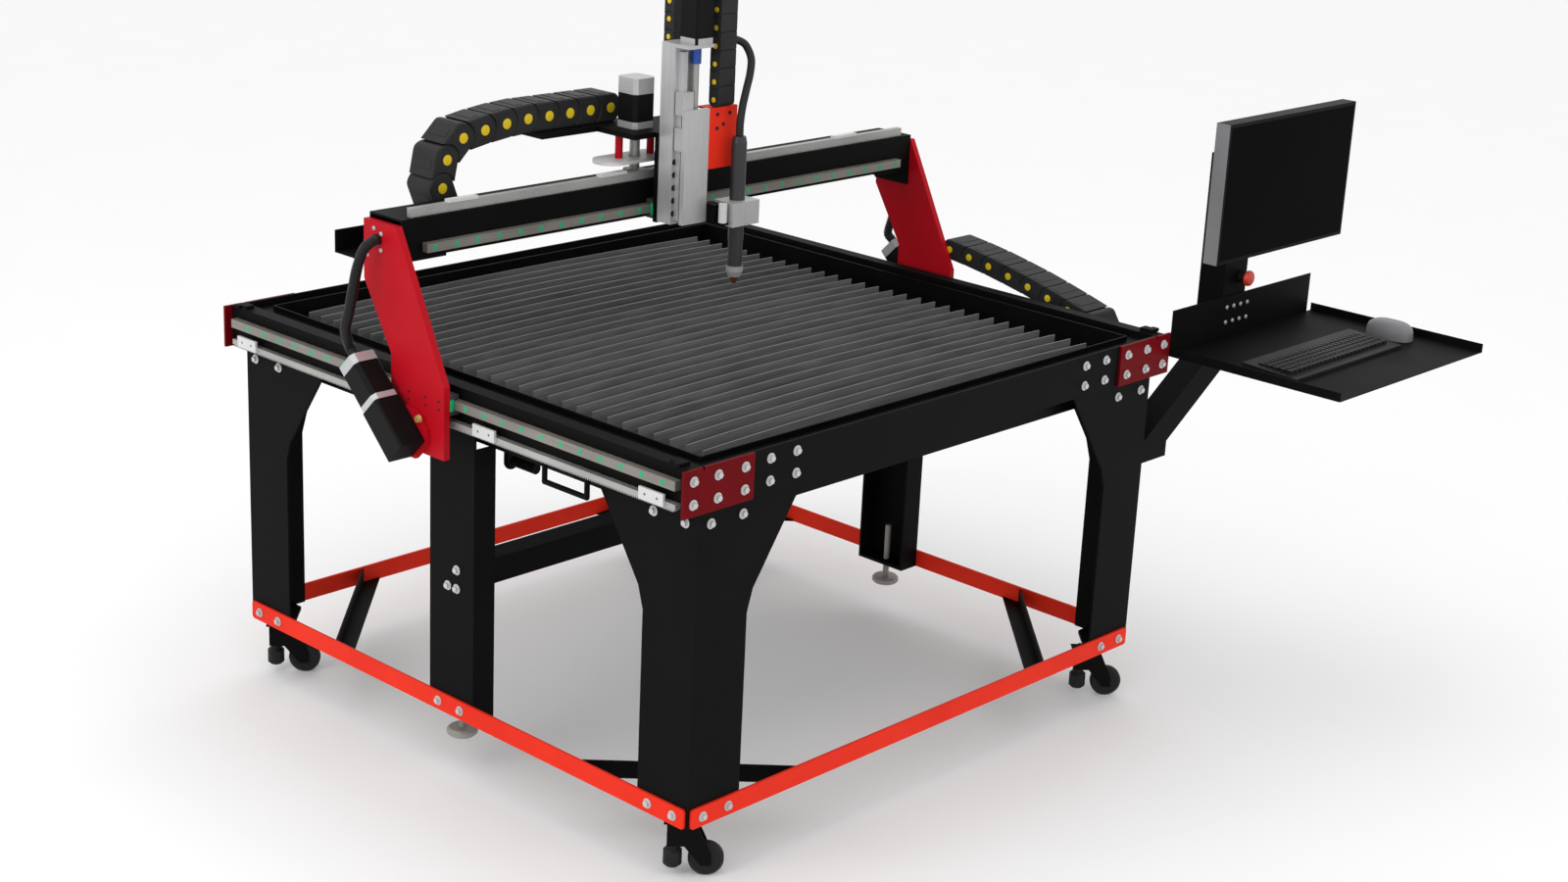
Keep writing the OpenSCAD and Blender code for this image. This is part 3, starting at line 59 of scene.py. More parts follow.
# Turns that point a piece's +Z to a side
LEFT, RIGHT, FRONT, BACK, UP = (0, -90, 0), (0, 90, 0), (90, 0, 0), (-90, 0, 0), (0, 0, 0)


def at(x, y, z):
    """A place in the row frame, in metres."""
    return Vector(((x - MID[0]) / 1000, (y - MID[1]) / 1000, z / 1000))


def table_place(point):
    """A point of the row frame back in millimetres from the front left leg."""
    return point.x * 1000 + MID[0], point.y * 1000 + MID[1], point.z * 1000


def span(node):
    """The faces and the middle of a CAD node's box, to a hundredth of a millimetre."""
    (left, front, low), (right, back, high) = [[round(v, 2) for v in table_place(p)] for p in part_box(node)]
    return SimpleNamespace(left=left, right=right, front=front, back=back, low=low, high=high,
                           x=(left + right) / 2, y=(front + back) / 2, z=(low + high) / 2)


# CAD pieces that the details stand on
APRONS, CORNER_PLATES, STRETCHERS = span("aprons"), span("corner_plates"), span("stretchers")
LONG_RAILS, CROSS_RAIL = span("y_rails"), span("x_rail")
CROSS_BLOCKS, LIFT_BLOCKS = span("x_bearing_blocks"), span("z_bearing_blocks")
GANTRY_PLATES, DRIVE_PLATES = span("gantry_plates"), span("y_motor_plates")
CROSS_MOTOR, LIFT_MOTOR = span("x_motor"), span("z_motor")
CHAIN_BRACKET, TRAY, POST = span("chain_bracket"), span("tray"), span("monitor_post")
MONITOR, KEYBOARD = span("monitor"), span("keyboard_and_mouse")


# Camera, with its focal length in pixels of a picture of this width
PICTURE_W, FOCAL_LENGTH, SENSOR_W = 1600, 2517.5, 36
EYE = (-3245.6, -3194.9, 2481.3)


def make_camera():
    data = bpy.data.cameras.new("camera")
    cam = bpy.data.objects.new("camera", data)
    bpy.context.scene.collection.objects.link(cam)
    data.sensor_width = SENSOR_W
    data.lens = FOCAL_LENGTH / PICTURE_W * SENSOR_W
    right = Vector((0.686255, -0.725927, 0.04565))
    down = Vector((-0.19681, -0.245741, -0.949145))
    ahead = Vector((0.700229, 0.642371, -0.311511))
    turn = Matrix((right, -down, -ahead)).transposed().to_4x4()
    cam.matrix_world = Matrix.Translation(at(*EYE)) @ turn
    data.clip_end = 60
    bpy.context.scene.camera = cam


make_camera()


# Materials
BUMP_DEPTH = 0.0004
# Heights, in metres, between which one look of a node gives way to the next
SLAT_EDGE = (0.9025, 0.9065)
TORCH_TIP_END, TORCH_COLLAR_END = (1.0455, 1.0465), (1.0715, 1.0725)


def node_tools(name):
    """A new material, its shader, and what adds and links nodes in it."""
    mat = bpy.data.materials.new(name)
    mat.use_nodes = True
    tree = mat.node_tree

    def add(kind, **values):
        n = tree.nodes.new(kind)
        for k, v in values.items():
            setattr(n, k, v)
        return n

    return mat, tree.nodes["Principled BSDF"], add, tree.links.new


def noise(add, link, scale, detail, stretch=(1, 1, 1)):
    """A noise over the object's own coordinates, in metres."""
    coord, place, tex = add("ShaderNodeTexCoord"), add("ShaderNodeMapping"), add("ShaderNodeTexNoise")
    place.inputs["Scale"].default_value = stretch
    tex.inputs["Scale"].default_value = scale
    tex.inputs["Detail"].default_value = detail
    link(coord.outputs["Object"], place.inputs["Vector"])
    link(place.outputs["Vector"], tex.inputs["Vector"])
    return tex.outputs["Fac"]


def spread(add, link, value, low, high, start=0.3, end=0.7):
    """A value moved from one range to another."""
    n = add("ShaderNodeMapRange")
    for socket, number in (("From Min", start), ("From Max", end), ("To Min", low), ("To Max", high)):
        n.inputs[socket].default_value = number
    link(value, n.inputs["Value"])
    return n.outputs["Result"]


def mixed(add, link, a, b, share):
    """Two noises added, the first at a share and the second at the rest."""
    rest = add("ShaderNodeMath", operation="MULTIPLY")
    rest.inputs[1].default_value = 1 - share
    link(b, rest.inputs[0])
    both = add("ShaderNodeMath", operation="MULTIPLY_ADD")
    both.inputs[1].default_value = share
    link(a, both.inputs[0])
    link(rest.outputs[0], both.inputs[2])
    return both.outputs[0]


def blend_colours(add, link, fac, a, b):
    """A colour between two, each given as numbers or as a node's output."""
    n = add("ShaderNodeMix", data_type="RGBA")
    for socket, value in zip([s for s in n.inputs if s.type == "RGBA"], (a, b)):
        if isinstance(value, tuple):
            socket.default_value = (*value, 1)
        else:
            link(value, socket)
    link(fac, n.inputs[0])
    return [s for s in n.outputs if s.type == "RGBA"][0]


def relief(add, link, shader, height, strength):
    """Fine bumps on the surface."""
    bump = add("ShaderNodeBump")
    bump.inputs["Strength"].default_value = strength
    bump.inputs["Distance"].default_value = BUMP_DEPTH
    link(height, bump.inputs["Height"])
    link(bump.outputs["Normal"], shader.inputs["Normal"])


def coating(name, dark, light, rough, metal=0.0, grain=900, stretch=(1, 1, 1), bump=0.1, smear=6,
            coat=0.0, shine=0.5, rough_span=0.12):
    """A paint, plastic or metal with a fine grain, slow smears and a rough surface."""
    mat, shader, add, link = node_tools(name)
    fine = noise(add, link, grain, 3, stretch)
    tone = mixed(add, link, noise(add, link, smear, 5), fine, 0.6)
    link(blend_colours(add, link, spread(add, link, tone, 0, 1), dark, light), shader.inputs["Base Color"])
    link(spread(add, link, tone, rough - rough_span / 2, rough + rough_span / 2), shader.inputs["Roughness"])
    shader.inputs["Metallic"].default_value = metal
    shader.inputs["Specular IOR Level"].default_value = shine
    shader.inputs["Coat Weight"].default_value = coat
    shader.inputs["Coat Roughness"].default_value = 0.2
    relief(add, link, shader, fine, bump)
    return mat


def height_mask(add, link, start, end):
    """0 below the start and 1 above the end, by the object's own height."""
    coord, part = add("ShaderNodeTexCoord"), add("ShaderNodeSeparateXYZ")
    link(coord.outputs["Object"], part.inputs[0])
    return spread(add, link, part.outputs["Z"], 0, 1, start, end)


def slat_material():
    """Mill scale with scratches along the slats and an even grey upper edge."""
    mat, shader, add, link = node_tools("slat_scale")
    scratches = noise(add, link, 220, 4, (0.03, 1, 1))
    tone = mixed(add, link, scratches, noise(add, link, 9, 6, (0.6, 3, 2)), 0.5)
    shade = spread(add, link, tone, 0, 1, 0.35, 0.65)
    body = blend_colours(add, link, shade, (0.115, 0.115, 0.118), (0.2, 0.2, 0.205))
    edge = height_mask(add, link, *SLAT_EDGE)
    link(blend_colours(add, link, edge, body, (0.16, 0.16, 0.162)), shader.inputs["Base Color"])
    link(spread(add, link, tone, 0.4, 0.62), shader.inputs["Roughness"])
    shader.inputs["Metallic"].default_value = 0.1
    relief(add, link, shader, tone, 0.15)
    return mat


def torch_material():
    """A copper tip, a pale collar above it and a black handle."""
    mat, shader, add, link = node_tools("torch_body")
    grain = noise(add, link, 700, 3)
    handle = blend_colours(add, link, grain, (0.012, 0.012, 0.014), (0.032, 0.032, 0.035))
    collar = blend_colours(add, link, grain, (0.26, 0.26, 0.27), (0.36, 0.36, 0.37))
    tip = blend_colours(add, link, grain, (0.45, 0.13, 0.04), (0.66, 0.24, 0.09))
    above_tip = height_mask(add, link, *TORCH_TIP_END)
    above_collar = height_mask(add, link, *TORCH_COLLAR_END)
    low = blend_colours(add, link, above_tip, tip, collar)
    link(blend_colours(add, link, above_collar, low, handle), shader.inputs["Base Color"])
    metal = add("ShaderNodeMath", operation="SUBTRACT")
    metal.inputs[0].default_value = 1.0
    link(above_tip, metal.inputs[1])
    link(metal.outputs[0], shader.inputs["Metallic"])
    link(spread(add, link, grain, 0.35, 0.5), shader.inputs["Roughness"])
    return mat


def paper_material():
    """The studio's white floor."""
    mat, shader, add, link = node_tools("floor_paper")
    white = blend_colours(add, link, noise(add, link, 3, 2), (0.96, 0.96, 0.96), (0.98, 0.98, 0.98))
    link(white, shader.inputs["Base Color"])
    shader.inputs["Roughness"].default_value = 0.8
    shader.inputs["Specular IOR Level"].default_value = 0.1
    return mat


def greys(low, high, blue=0.0):
    """A dark and a light grey, with a share of blue added."""
    return (low, low, low * (1 + blue)), (high, high, high * (1 + blue))


GROUND_TONES = (0.17, 0.155, 0.14), (0.27, 0.25, 0.225)
MAT = {
    "powder": coating("black_powder", *greys(0.0022, 0.0055), 0.55, grain=1400, bump=0.2, shine=0.05),
    "pan": coating("pan_black", *greys(0.002, 0.005), 0.45, grain=600, bump=0.12, smear=9, shine=0.05),
    "red": coating("bright_red", (0.76, 0.02, 0.006), (0.88, 0.034, 0.011), 0.5,
                   grain=1300, bump=0.16, shine=0.12),
    "wine": coating("dark_red", (0.115, 0.0012, 0.003), (0.165, 0.002, 0.005), 0.45,
                    grain=1300, bump=0.14, shine=0.05),
    "crimson": coating("gantry_red", (0.4, 0.003, 0.009), (0.52, 0.006, 0.016), 0.45,
                       grain=1300, bump=0.14, shine=0.08),
    "ground": coating("ground_steel", *GROUND_TONES, 0.4, metal=0.35,
                      grain=260, stretch=(1, 0.03, 1), bump=0.08),
    "cross_ground": coating("cross_ground_steel", *GROUND_TONES, 0.4, metal=0.35,
                            grain=260, stretch=(0.03, 1, 1), bump=0.08),
    "rack": coating("rack_steel", (0.28, 0.28, 0.27), (0.46, 0.46, 0.44), 0.42, metal=0.4, grain=500),
    "alu": coating("milled_aluminium", *greys(0.42, 0.58, 0.02), 0.36, metal=0.35,
                   grain=300, stretch=(1, 1, 0.03), bump=0.07),
    "pale_alu": coating("pale_aluminium", *greys(0.56, 0.7), 0.45, metal=0.2, grain=700),
    "zinc": coating("zinc_bolt", *greys(0.46, 0.66), 0.32, metal=0.4, grain=800, bump=0.08),
    "foot": coating("foot_grey", (0.24, 0.23, 0.21), (0.36, 0.345, 0.32), 0.5, metal=0.2, grain=500),
    "block": coating("block_steel", *greys(0.04, 0.085, 0.04), 0.42, metal=0.3, grain=500),
    "green": coating("seal_green", (0.0, 0.34, 0.13), (0.006, 0.48, 0.19), 0.45, shine=0.2),
    "silver": coating("motor_silver", *greys(0.4, 0.56, 0.02), 0.38, metal=0.35, grain=500),
    "motor": coating("motor_black", *greys(0.003, 0.007), 0.45, bump=0.14, shine=0.09),
    "chain": coating("chain_plastic", *greys(0.012, 0.027), 0.5, grain=700, bump=0.18, smear=14, shine=0.18),
    "yellow": coating("pin_yellow", (0.66, 0.47, 0.004), (0.8, 0.58, 0.01), 0.45, shine=0.3),
    "rubber": coating("wheel_rubber", *greys(0.004, 0.011), 0.55, grain=600, bump=0.25, shine=0.25),
    "cord": coating("lead_cover", *greys(0.007, 0.017), 0.5, stretch=(1, 1, 0.4), bump=0.3, shine=0.3),
    "conduit": coating("conduit_black", *greys(0.005, 0.012), 0.42, grain=800, bump=0.12, shine=0.3),
    "plastic": coating("key_plastic", *greys(0.007, 0.016, 0.05), 0.5, grain=1600, bump=0.2, shine=0.18),
    "mouse": coating("mouse_grey", *greys(0.15, 0.22, 0.04), 0.42, grain=1500),
    "bezel": coating("bezel_black", *greys(0.0025, 0.005), 0.45, grain=1300, bump=0.12, shine=0.05),
    "screen": coating("screen_glass", *greys(0.0014, 0.0024, 0.1), 0.12,
                      grain=60, bump=0.0, shine=0.01, rough_span=0.04),
    "button": coating("button_red", (0.62, 0.03, 0.012), (0.78, 0.05, 0.02), 0.34, bump=0.08, coat=0.1),
    "brass": coating("brass", (0.5, 0.34, 0.1), (0.68, 0.48, 0.17), 0.34, metal=0.5, grain=500, bump=0.08),
    "blue": coating("coupling_blue", (0.008, 0.05, 0.28), (0.015, 0.085, 0.4), 0.38, metal=0.2,
                    grain=600, bump=0.08),
    "white": coating("probe_white", *greys(0.6, 0.74, -0.02), 0.4, grain=800, bump=0.08),
    "hole": coating("hole_shade", *greys(0.003, 0.007), 0.7, grain=500, bump=0.05),
    "slat": slat_material(),
    "torch": torch_material(),
    "paper": paper_material(),
}
CORNERS = "front_left front_right back_left back_right".split()
NODE_LOOKS = {
    "powder": "corner_legs middle_legs aprons side_beams floor_braces pull_handle station_arm tray "
              "monitor_post gantry_beam carriage_plate x_motor_plate "
              + " ".join("caster_fork_" + c for c in CORNERS),
    "rubber": " ".join("caster_wheel_%s caster_pad_%s" % (c, c) for c in CORNERS),
    "pan": "water_pan",
    "slat": "slats",
    "red": "stretchers chain_bracket",
    "wine": "corner_plates",
    "crimson": "gantry_plates y_motor_plates",
    "ground": "y_rails",
    "cross_ground": "x_rail",
    "rack": "y_racks x_rack y_pinion_left y_pinion_right x_pinion z_screw",
    "zinc": "frame_bolts",
    "foot": "levelling_foot_left levelling_foot_right",
    "motor": "y_motors z_motor x_motor",
    "block": "y_bearing_blocks x_bearing_blocks",
    "silver": "z_bearing_blocks",
    "alu": "z_channel z_plate torch_clamp",
    "chain": "x_chain y_chain z_chain",
    "conduit": "motor_conduits",
    "cord": "torch_lead",
    "torch": "torch",
    "bezel": "monitor",
    "plastic": "keyboard_and_mouse",
    "button": "estop_button",
}
for look, names in NODE_LOOKS.items():
    for n in names.split():
        NODES[n].data.materials.clear()
        NODES[n].data.materials.append(MAT[look])


def repaint(node, look, inside):
    """The faces of a CAD node whose middles lie in a region, given in millimetres, take another material."""
    data = NODES[node].data
    data.materials.append(MAT[look])
    for p in data.polygons:
        if inside(*table_place(p.center)):
            p.material_index = len(data.materials) - 1


# Pieces of a node with a look of their own are told apart by limits between them and the rest
# Rack clamp blocks and rail stops
RACK_OUT, CROSS_RACK_TOP = 50.01, 1285.01
repaint("y_racks", "pale_alu", lambda x, y, z: abs(x - TABLE_W / 2) > TABLE_W / 2 + RACK_OUT)
repaint("y_racks", "powder", lambda x, y, z: z > APRONS.high - 0.1)
repaint("x_rack", "pale_alu", lambda x, y, z: z > CROSS_RACK_TOP)

# The lift's coupling, and the cross motor's swing plate with its posts
COUPLING_LOW, SCREW_R = 1544, 8.1
SWING_PLATE_TOP, SWING_POST_TOP = 1313.005, 1368.99
repaint("z_screw", "blue",
        lambda x, y, z: z > COUPLING_LOW and math.hypot(x - LIFT_MOTOR.x, y - LIFT_MOTOR.y) > SCREW_R)
repaint("x_motor_plate", "pale_alu", lambda x, y, z: z < SWING_PLATE_TOP)
repaint("x_motor_plate", "crimson", lambda x, y, z: SWING_PLATE_TOP < z < SWING_POST_TOP)

# The clamp's arm and the probe sensor on it
CLAMP_LEFT, PROBE_BACK, PROBE_LOW = 744.99, 690.9, 1184.01
repaint("torch_clamp", "powder", lambda x, y, z: x < CLAMP_LEFT)
repaint("torch_clamp", "white", lambda x, y, z: x < CLAMP_LEFT and y < PROBE_BACK and z > PROBE_LOW)

# The monitor's left side and the stop button's collar
repaint("monitor", "mouse", lambda x, y, z: x < MONITOR.left + 0.1)
repaint("monitor_post", "plastic", lambda x, y, z: y < TRAY.back - 0.01 and z < MONITOR.low)

# Meshes
SMOOTH_ANGLE = math.radians(35)


def smoothed(data):
    """Faces that meet at less than the smooth angle are shaded as one."""
    data.polygons.foreach_set("use_smooth", [True] * len(data.polygons))
    data.set_sharp_from_angle(angle=SMOOTH_ANGLE)


def link_mesh(name, bm, look, smooth=False):
    """An object from a finished bmesh."""
    data = bpy.data.meshes.new(name)
    bmesh.ops.recalc_face_normals(bm, faces=bm.faces)
    bm.to_mesh(data)
    bm.free()
    if smooth:
        smoothed(data)
    data.materials.append(MAT[look])
    obj = bpy.data.objects.new(name, data)
    bpy.context.scene.collection.objects.link(obj)
    return obj


def box(bm, lo, hi, bevel=0.0):
    """A box in millimetres between two corners."""
    size = [(b - a) / 1000 for a, b in zip(lo, hi)]
    mid = [(a + b) / 2000 for a, b in zip(lo, hi)]
    made = bmesh.ops.create_cube(bm, size=1, matrix=Matrix.Translation(mid) @ Matrix.Diagonal((*size, 1)))
    if bevel:
        edges = {e for v in made["verts"] for e in v.link_edges}
        bmesh.ops.bevel(bm, geom=list(edges), offset=bevel / 1000, segments=2, affect="EDGES", profile=0.5)


def table_box(bm, lo, hi, bevel=0.0):
    """A box between two places."""
    box(bm, *((x - MID[0], y - MID[1], z) for x, y, z in (lo, hi)), bevel)


def round_steps(count):
    """Angles of even steps round a circle."""
    return [2 * math.pi * k / count for k in range(count)]


def rings_joined(bm, rings):
    """Faces between neighbouring closed rings, where a ring of one vertex is a point."""
    for a, b in zip(rings, rings[1:]):
        n = max(len(a), len(b))
        for k in range(n):
            corners = (a[k % len(a)], a[(k + 1) % n % len(a)], b[(k + 1) % n % len(b)], b[k % len(b)])
            bm.faces.new(list(dict.fromkeys(corners)))


def closed_rings(bm, rings):
    """Faces between neighbouring rings, and over the first and the last."""
    rings_joined(bm, rings)
    bm.faces.new(rings[0])
    bm.faces.new(list(reversed(rings[-1])))


def lathe(bm, profile, sides):
    """A turned piece: (radius, height) pairs in millimetres about +Z."""
    rings = []
    for radius, height in profile:
        r, h = radius / 1000, height / 1000
        steps = round_steps(sides if radius else 1)
        rings.append([bm.verts.new((r * math.cos(t), r * math.sin(t), h)) for t in steps])
    rings_joined(bm, rings)


def turned_source(name, look, *profiles):
    """A turned piece to be copied: (profile, sides) pairs."""
    bm = bmesh.new()
    for profile, sides in profiles:
        lathe(bm, profile, sides)
    return link_mesh(name, bm, look)


def copies_tree():
    """Copies of a source piece on points that carry their turns, at a size."""
    tree = bpy.data.node_groups.new("copies_on_places", "GeometryNodeTree")
    sockets = {}
    kinds = {"Geometry": "Geometry", "Source": "Object", "Size": "Float", "Finish": "Material"}
    for name, kind in kinds.items():
        sockets[name] = tree.interface.new_socket(name, in_out="INPUT", socket_type="NodeSocket" + kind)
    tree.interface.new_socket("Geometry", in_out="OUTPUT", socket_type="NodeSocketGeometry")
    add, link = tree.nodes.new, tree.links.new
    start, end = add("NodeGroupInput"), add("NodeGroupOutput")
    info = add("GeometryNodeObjectInfo")
    copies = add("GeometryNodeInstanceOnPoints")
    turn = add("FunctionNodeEulerToRotation")
    attribute = add("GeometryNodeInputNamedAttribute")
    real = add("GeometryNodeRealizeInstances")
    paint = add("GeometryNodeSetMaterial")
    attribute.data_type = "FLOAT_VECTOR"
    attribute.inputs["Name"].default_value = "turn"
    link(start.outputs["Geometry"], copies.inputs["Points"])
    link(start.outputs["Source"], info.inputs["Object"])
    link(info.outputs["Geometry"], copies.inputs["Instance"])
    link(attribute.outputs["Attribute"], turn.inputs[0])
    link(turn.outputs[0], copies.inputs["Rotation"])
    link(start.outputs["Size"], copies.inputs["Scale"])
    link(copies.outputs[0], real.inputs[0])
    link(real.outputs[0], paint.inputs["Geometry"])
    link(start.outputs["Finish"], paint.inputs["Material"])
    link(paint.outputs[0], end.inputs[0])
    return tree, {name: socket.identifier for name, socket in sockets.items()}


COPIES, COPY_INPUTS = copies_tree()


def repeated(name, source, look, places, size=1.0, smooth=True):
    """Copies of a source piece, one at each (place, turn in degrees), kept as one mesh; the source goes."""
    points = bpy.data.meshes.new(name + "_points")
    points.from_pydata([p for p, _ in places], [], [])
    turns = points.attributes.new("turn", "FLOAT_VECTOR", "POINT")
    for k, (_, degrees) in enumerate(places):
        turns.data[k].vector = [math.radians(d) for d in degrees]
    holder = bpy.data.objects.new(name + "_points", points)
    bpy.context.scene.collection.objects.link(holder)
    modifier = holder.modifiers.new("copies", "NODES")
    modifier.node_group = COPIES
    for socket, value in (("Source", source), ("Size", size), ("Finish", MAT[look])):
        modifier[COPY_INPUTS[socket]] = value
    holder.update_tag()
    bpy.context.view_layer.update()
    data = bpy.data.meshes.new_from_object(holder.evaluated_get(bpy.context.evaluated_depsgraph_get()))
    data.materials.clear()
    data.materials.append(MAT[look])
    data.name = name
    if smooth:
        smoothed(data)
    obj = bpy.data.objects.new(name, data)
    bpy.context.scene.collection.objects.link(obj)
    bpy.data.objects.remove(holder)
    bpy.data.objects.remove(source)
    return obj


def both_sides(places):
    """Places on the left side, as (x, y, z) and a turn, and their mirror images on the right."""
    return [(at(*p), t) for p, t in places] + [
        (at(TABLE_W - p[0], p[1], p[2]), RIGHT if t == LEFT else t) for p, t in places]


def four_corners(places):
    """Places on the left at the front, and their mirror images at the back and on the right."""
    back = [((x, TABLE_D - y, z), BACK if t == FRONT else t) for (x, y, z), t in places]
    return both_sides(places + back)


# Flanged hex heads on washers stand at the places of the CAD heads
LEG_FACE, LEG_BOLT_Z, CROSS_BEAM_Z = 0, 802, 469
bolts = []
for z in (858, 906):
    bolts += [((x, CORNER_PLATES.front, z), FRONT) for x in (-28, 40, 116)]
    bolts += [((x, APRONS.front, z), FRONT) for x in (195, 272)]
for face, z, insets in ((LEG_FACE, LEG_BOLT_Z, (35, 126)), (STRETCHERS.front, STRETCHERS.z, (38, 112))):
    for u in insets:
        bolts += [((u, face, z), FRONT), ((face, u, z), LEFT)]
middle_bolts = [((STRETCHERS.left, TABLE_D / 2 + y, STRETCHERS.z), LEFT) for y in (-38, 38)]
middle_bolts += [((LEG_FACE, TABLE_D / 2 + y, CROSS_BEAM_Z + z), LEFT)
                 for y, z in ((-18, 22), (-18, -22), (12, -22))]
washer = [(0, 0.01), (11, 0.01), (11, 1.6), (10.4, 2), (8.6, 2), (8.6, 3.2), (8.2, 3.6), (0, 3.6)]
hex_head = [(0, 3.6), (6.9, 3.6), (6.9, 8.0), (6.0, 8.6), (4.6, 8.7), (0, 8.2)]
bolt = turned_source("bolt_source", "zinc", (washer, 28), (hex_head, 6))
frame_heads = repeated("frame_bolt_heads", bolt, "zinc", four_corners(bolts) + both_sides(middle_bolts))
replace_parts(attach(frame_heads, "table"), "frame_bolts")


# Plugs in the rail bores
PLUG_PITCH, FIRST_LONG_PLUG, LONG_PLUGS, CROSS_PLUGS = 60, 50, 24, 26


def source_plug():
    return turned_source("plug_source", "green", ([(0, 0.4), (5.2, 0.4), (5.7, 0.05), (6, 0.02)], 20))


long_plugs = [((LONG_RAILS.left, FIRST_LONG_PLUG + PLUG_PITCH * k, LONG_RAILS.z), LEFT)
              for k in range(LONG_PLUGS)]
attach(repeated("long_rail_plugs", source_plug(), "green", both_sides(long_plugs)), "table")
first_cross_plug = TABLE_W / 2 - PLUG_PITCH * (CROSS_PLUGS - 1) / 2
cross_plugs = [(at(first_cross_plug + PLUG_PITCH * k, CROSS_RAIL.front, CROSS_RAIL.z), FRONT)
               for k in range(CROSS_PLUGS)]
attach(repeated("cross_rail_plugs", source_plug(), "green", cross_plugs), "gantry")


# Bearing block end seals
def source_seal(across, deep, tall):
    bm = bmesh.new()
    box(bm, (-across / 2, -deep / 2, 0), (across / 2, deep / 2, tall), 1.0)
    return link_mesh("seal_source", bm, "green")


SEAL_OUT, SEAL_W, SEAL_T, LONG_SEAL_TALL, CROSS_SEAL_TALL = 6.3, 10.4, 3, 26, 28
long_seals = [((LONG_RAILS.left - SEAL_OUT, y, LONG_RAILS.z - LONG_SEAL_TALL / 2), UP)
              for y in (686, 762.5, 785, 861.5)]
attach(repeated("long_block_seals", source_seal(SEAL_W, SEAL_T, LONG_SEAL_TALL), "green",
                 both_sides(long_seals)), "gantry")
cross_seals = [(at(x, CROSS_RAIL.front - SEAL_OUT, CROSS_RAIL.z - CROSS_SEAL_TALL / 2), UP)
               for x in (CROSS_BLOCKS.left, CROSS_BLOCKS.right)]
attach(repeated("cross_block_seals", source_seal(SEAL_T, SEAL_W, CROSS_SEAL_TALL), "green",
                 cross_seals), "carriage")
lift_seals = [(at(LIFT_BLOCKS.x, 735.2, z), UP) for z in (1349.2, 1397.8, 1431.2, 1479.8)]
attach(repeated("lift_block_seals", source_seal(33, 7.6, SEAL_T), "green", lift_seals), "lift")


# Drag chains
def source_link(pitch, tall, wide):
    """One chain link along +X from its hinge: a bevelled strip with a rounded nose and a hollow tail, and a
    bar over and under it."""
    bm = bmesh.new()
    r, bevel = tall / 2, tall * 0.045
    nose = [math.pi / 2 + math.pi * k / 12 for k in range(13)]
    tail = [math.pi * 1.5 - math.pi * k / 8 for k in range(2, 7)]

    def ring(y, inset):
        low, hollow, stop = r - inset, r * 1.02 + inset, pitch - r * 0.56 - inset
        outline = []
        for t in nose:
            rise = math.copysign(min(1, abs(math.sin(t)) * 1.1), math.sin(t))
            outline.append((low * math.cos(t), low * rise))
        outline.append((stop, -low))
        outline += [(pitch + hollow * math.cos(t), hollow * math.sin(t)) for t in tail]
        outline.append((stop, low))
        return [bm.verts.new((u / 1000, y / 1000, v / 1000)) for u, v in outline]

    half = wide / 2
    closed_rings(bm, [ring(-half, bevel), ring(-half + bevel, 0), ring(half - bevel, 0), ring(half, bevel)])
    bar_half = half - tall * 0.2
    for s in (-1, 1):
        near, far = sorted((s * (r - 1), s * (r + tall * 0.016)))
        box(bm, (pitch * 0.08, -bar_half, near), (pitch * 0.42, bar_half, far), tall * 0.012)
    return link_mesh("link_source", bm, "chain")


def source_cap(radius):
    profile = [(0, 1.2), (radius * 0.86, 1.2), (radius, 0.8), (radius, -0.6)]
    return turned_source("cap_source", "yellow", (profile, 24))


def chain_hinges(turns, start, pitch):
    """Hinge points and headings, in degrees, of a chain in its own plane."""
    u = v = 0.0
    heading = start
    out = []
    for t in turns:
        heading += t
        out.append((u, v, heading))
        u += pitch * math.cos(math.radians(heading))
        v += pitch * math.sin(math.radians(heading))
    return out


def drag_chain(name, node, along, first, turns, start, pitch, tall, wide):
    """Links and pin caps of one chain along X or Y from its first hinge, bent at its hinges by the given
    turns.
    """
    x, y, z = first
    yaw, faces = (0, (FRONT, BACK)) if along == "x" else (90, (LEFT, RIGHT))

    def place(u, v, w):
        """A point of the chain's plane, and a step to its side, in the row frame."""
        return at(x + u, y + w, z + v) if along == "x" else at(x + w, y + u, z + v)

    hinges = chain_hinges(turns, start, pitch)
    links = repeated(name + "_links", source_link(pitch, tall, wide), "chain",
                     [(place(u, v, 0), (0, -h, yaw)) for u, v, h in hinges], smooth=False)
    caps = repeated(name + "_caps", source_cap(tall * 0.18), "yellow",
                    [(place(u, v, s * wide / 2), faces[s > 0]) for u, v, _ in hinges for s in (-1, 1)])
    for piece in (links, caps):
        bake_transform(piece)
    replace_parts(links, node)


drag_chain("cross_chain", "x_chain", along="x", first=(640, 1007, CROSS_MOTOR.low + 33),
           turns=[0] * 4 + [4, 3, 3] + [34] * 5 + [0] * 7, start=180, pitch=63, tall=66, wide=84)
drag_chain("long_chain", "y_chain", along="y", first=(1647, 705, 987),
           turns=[7, 2, 2, 1, 2, 1, 1] + [41] * 4 + [0] * 4, start=180, pitch=66, tall=50, wide=92)
drag_chain("lift_chain", "z_chain", along="y", first=(761, 725, 1460),
           turns=[0] * 8 + [-30] * 6 + [0] * 6, start=90, pitch=41, tall=34, wide=52)

# The fixed end of the long chain hangs from the right beam by an angle plate
hook = bmesh.new()
for far, top in ((1693, 702), (1544, 832)):
    table_box(hook, (1538, 517, 696), (far, 607, top), 1)
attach(link_mesh("long_chain_hook", hook, "powder"), "table")

# Cords
TUBE_SIDES, CURVE_SPLITS = 16, 20
LEAD_D, LEAD_STEPS = 0.018, 120
CONDUIT_D, CONDUIT_GROOVE_R, CONDUIT_STEPS, CONDUIT_PLAIN_STEPS = 0.024, 0.0104, 260, 8


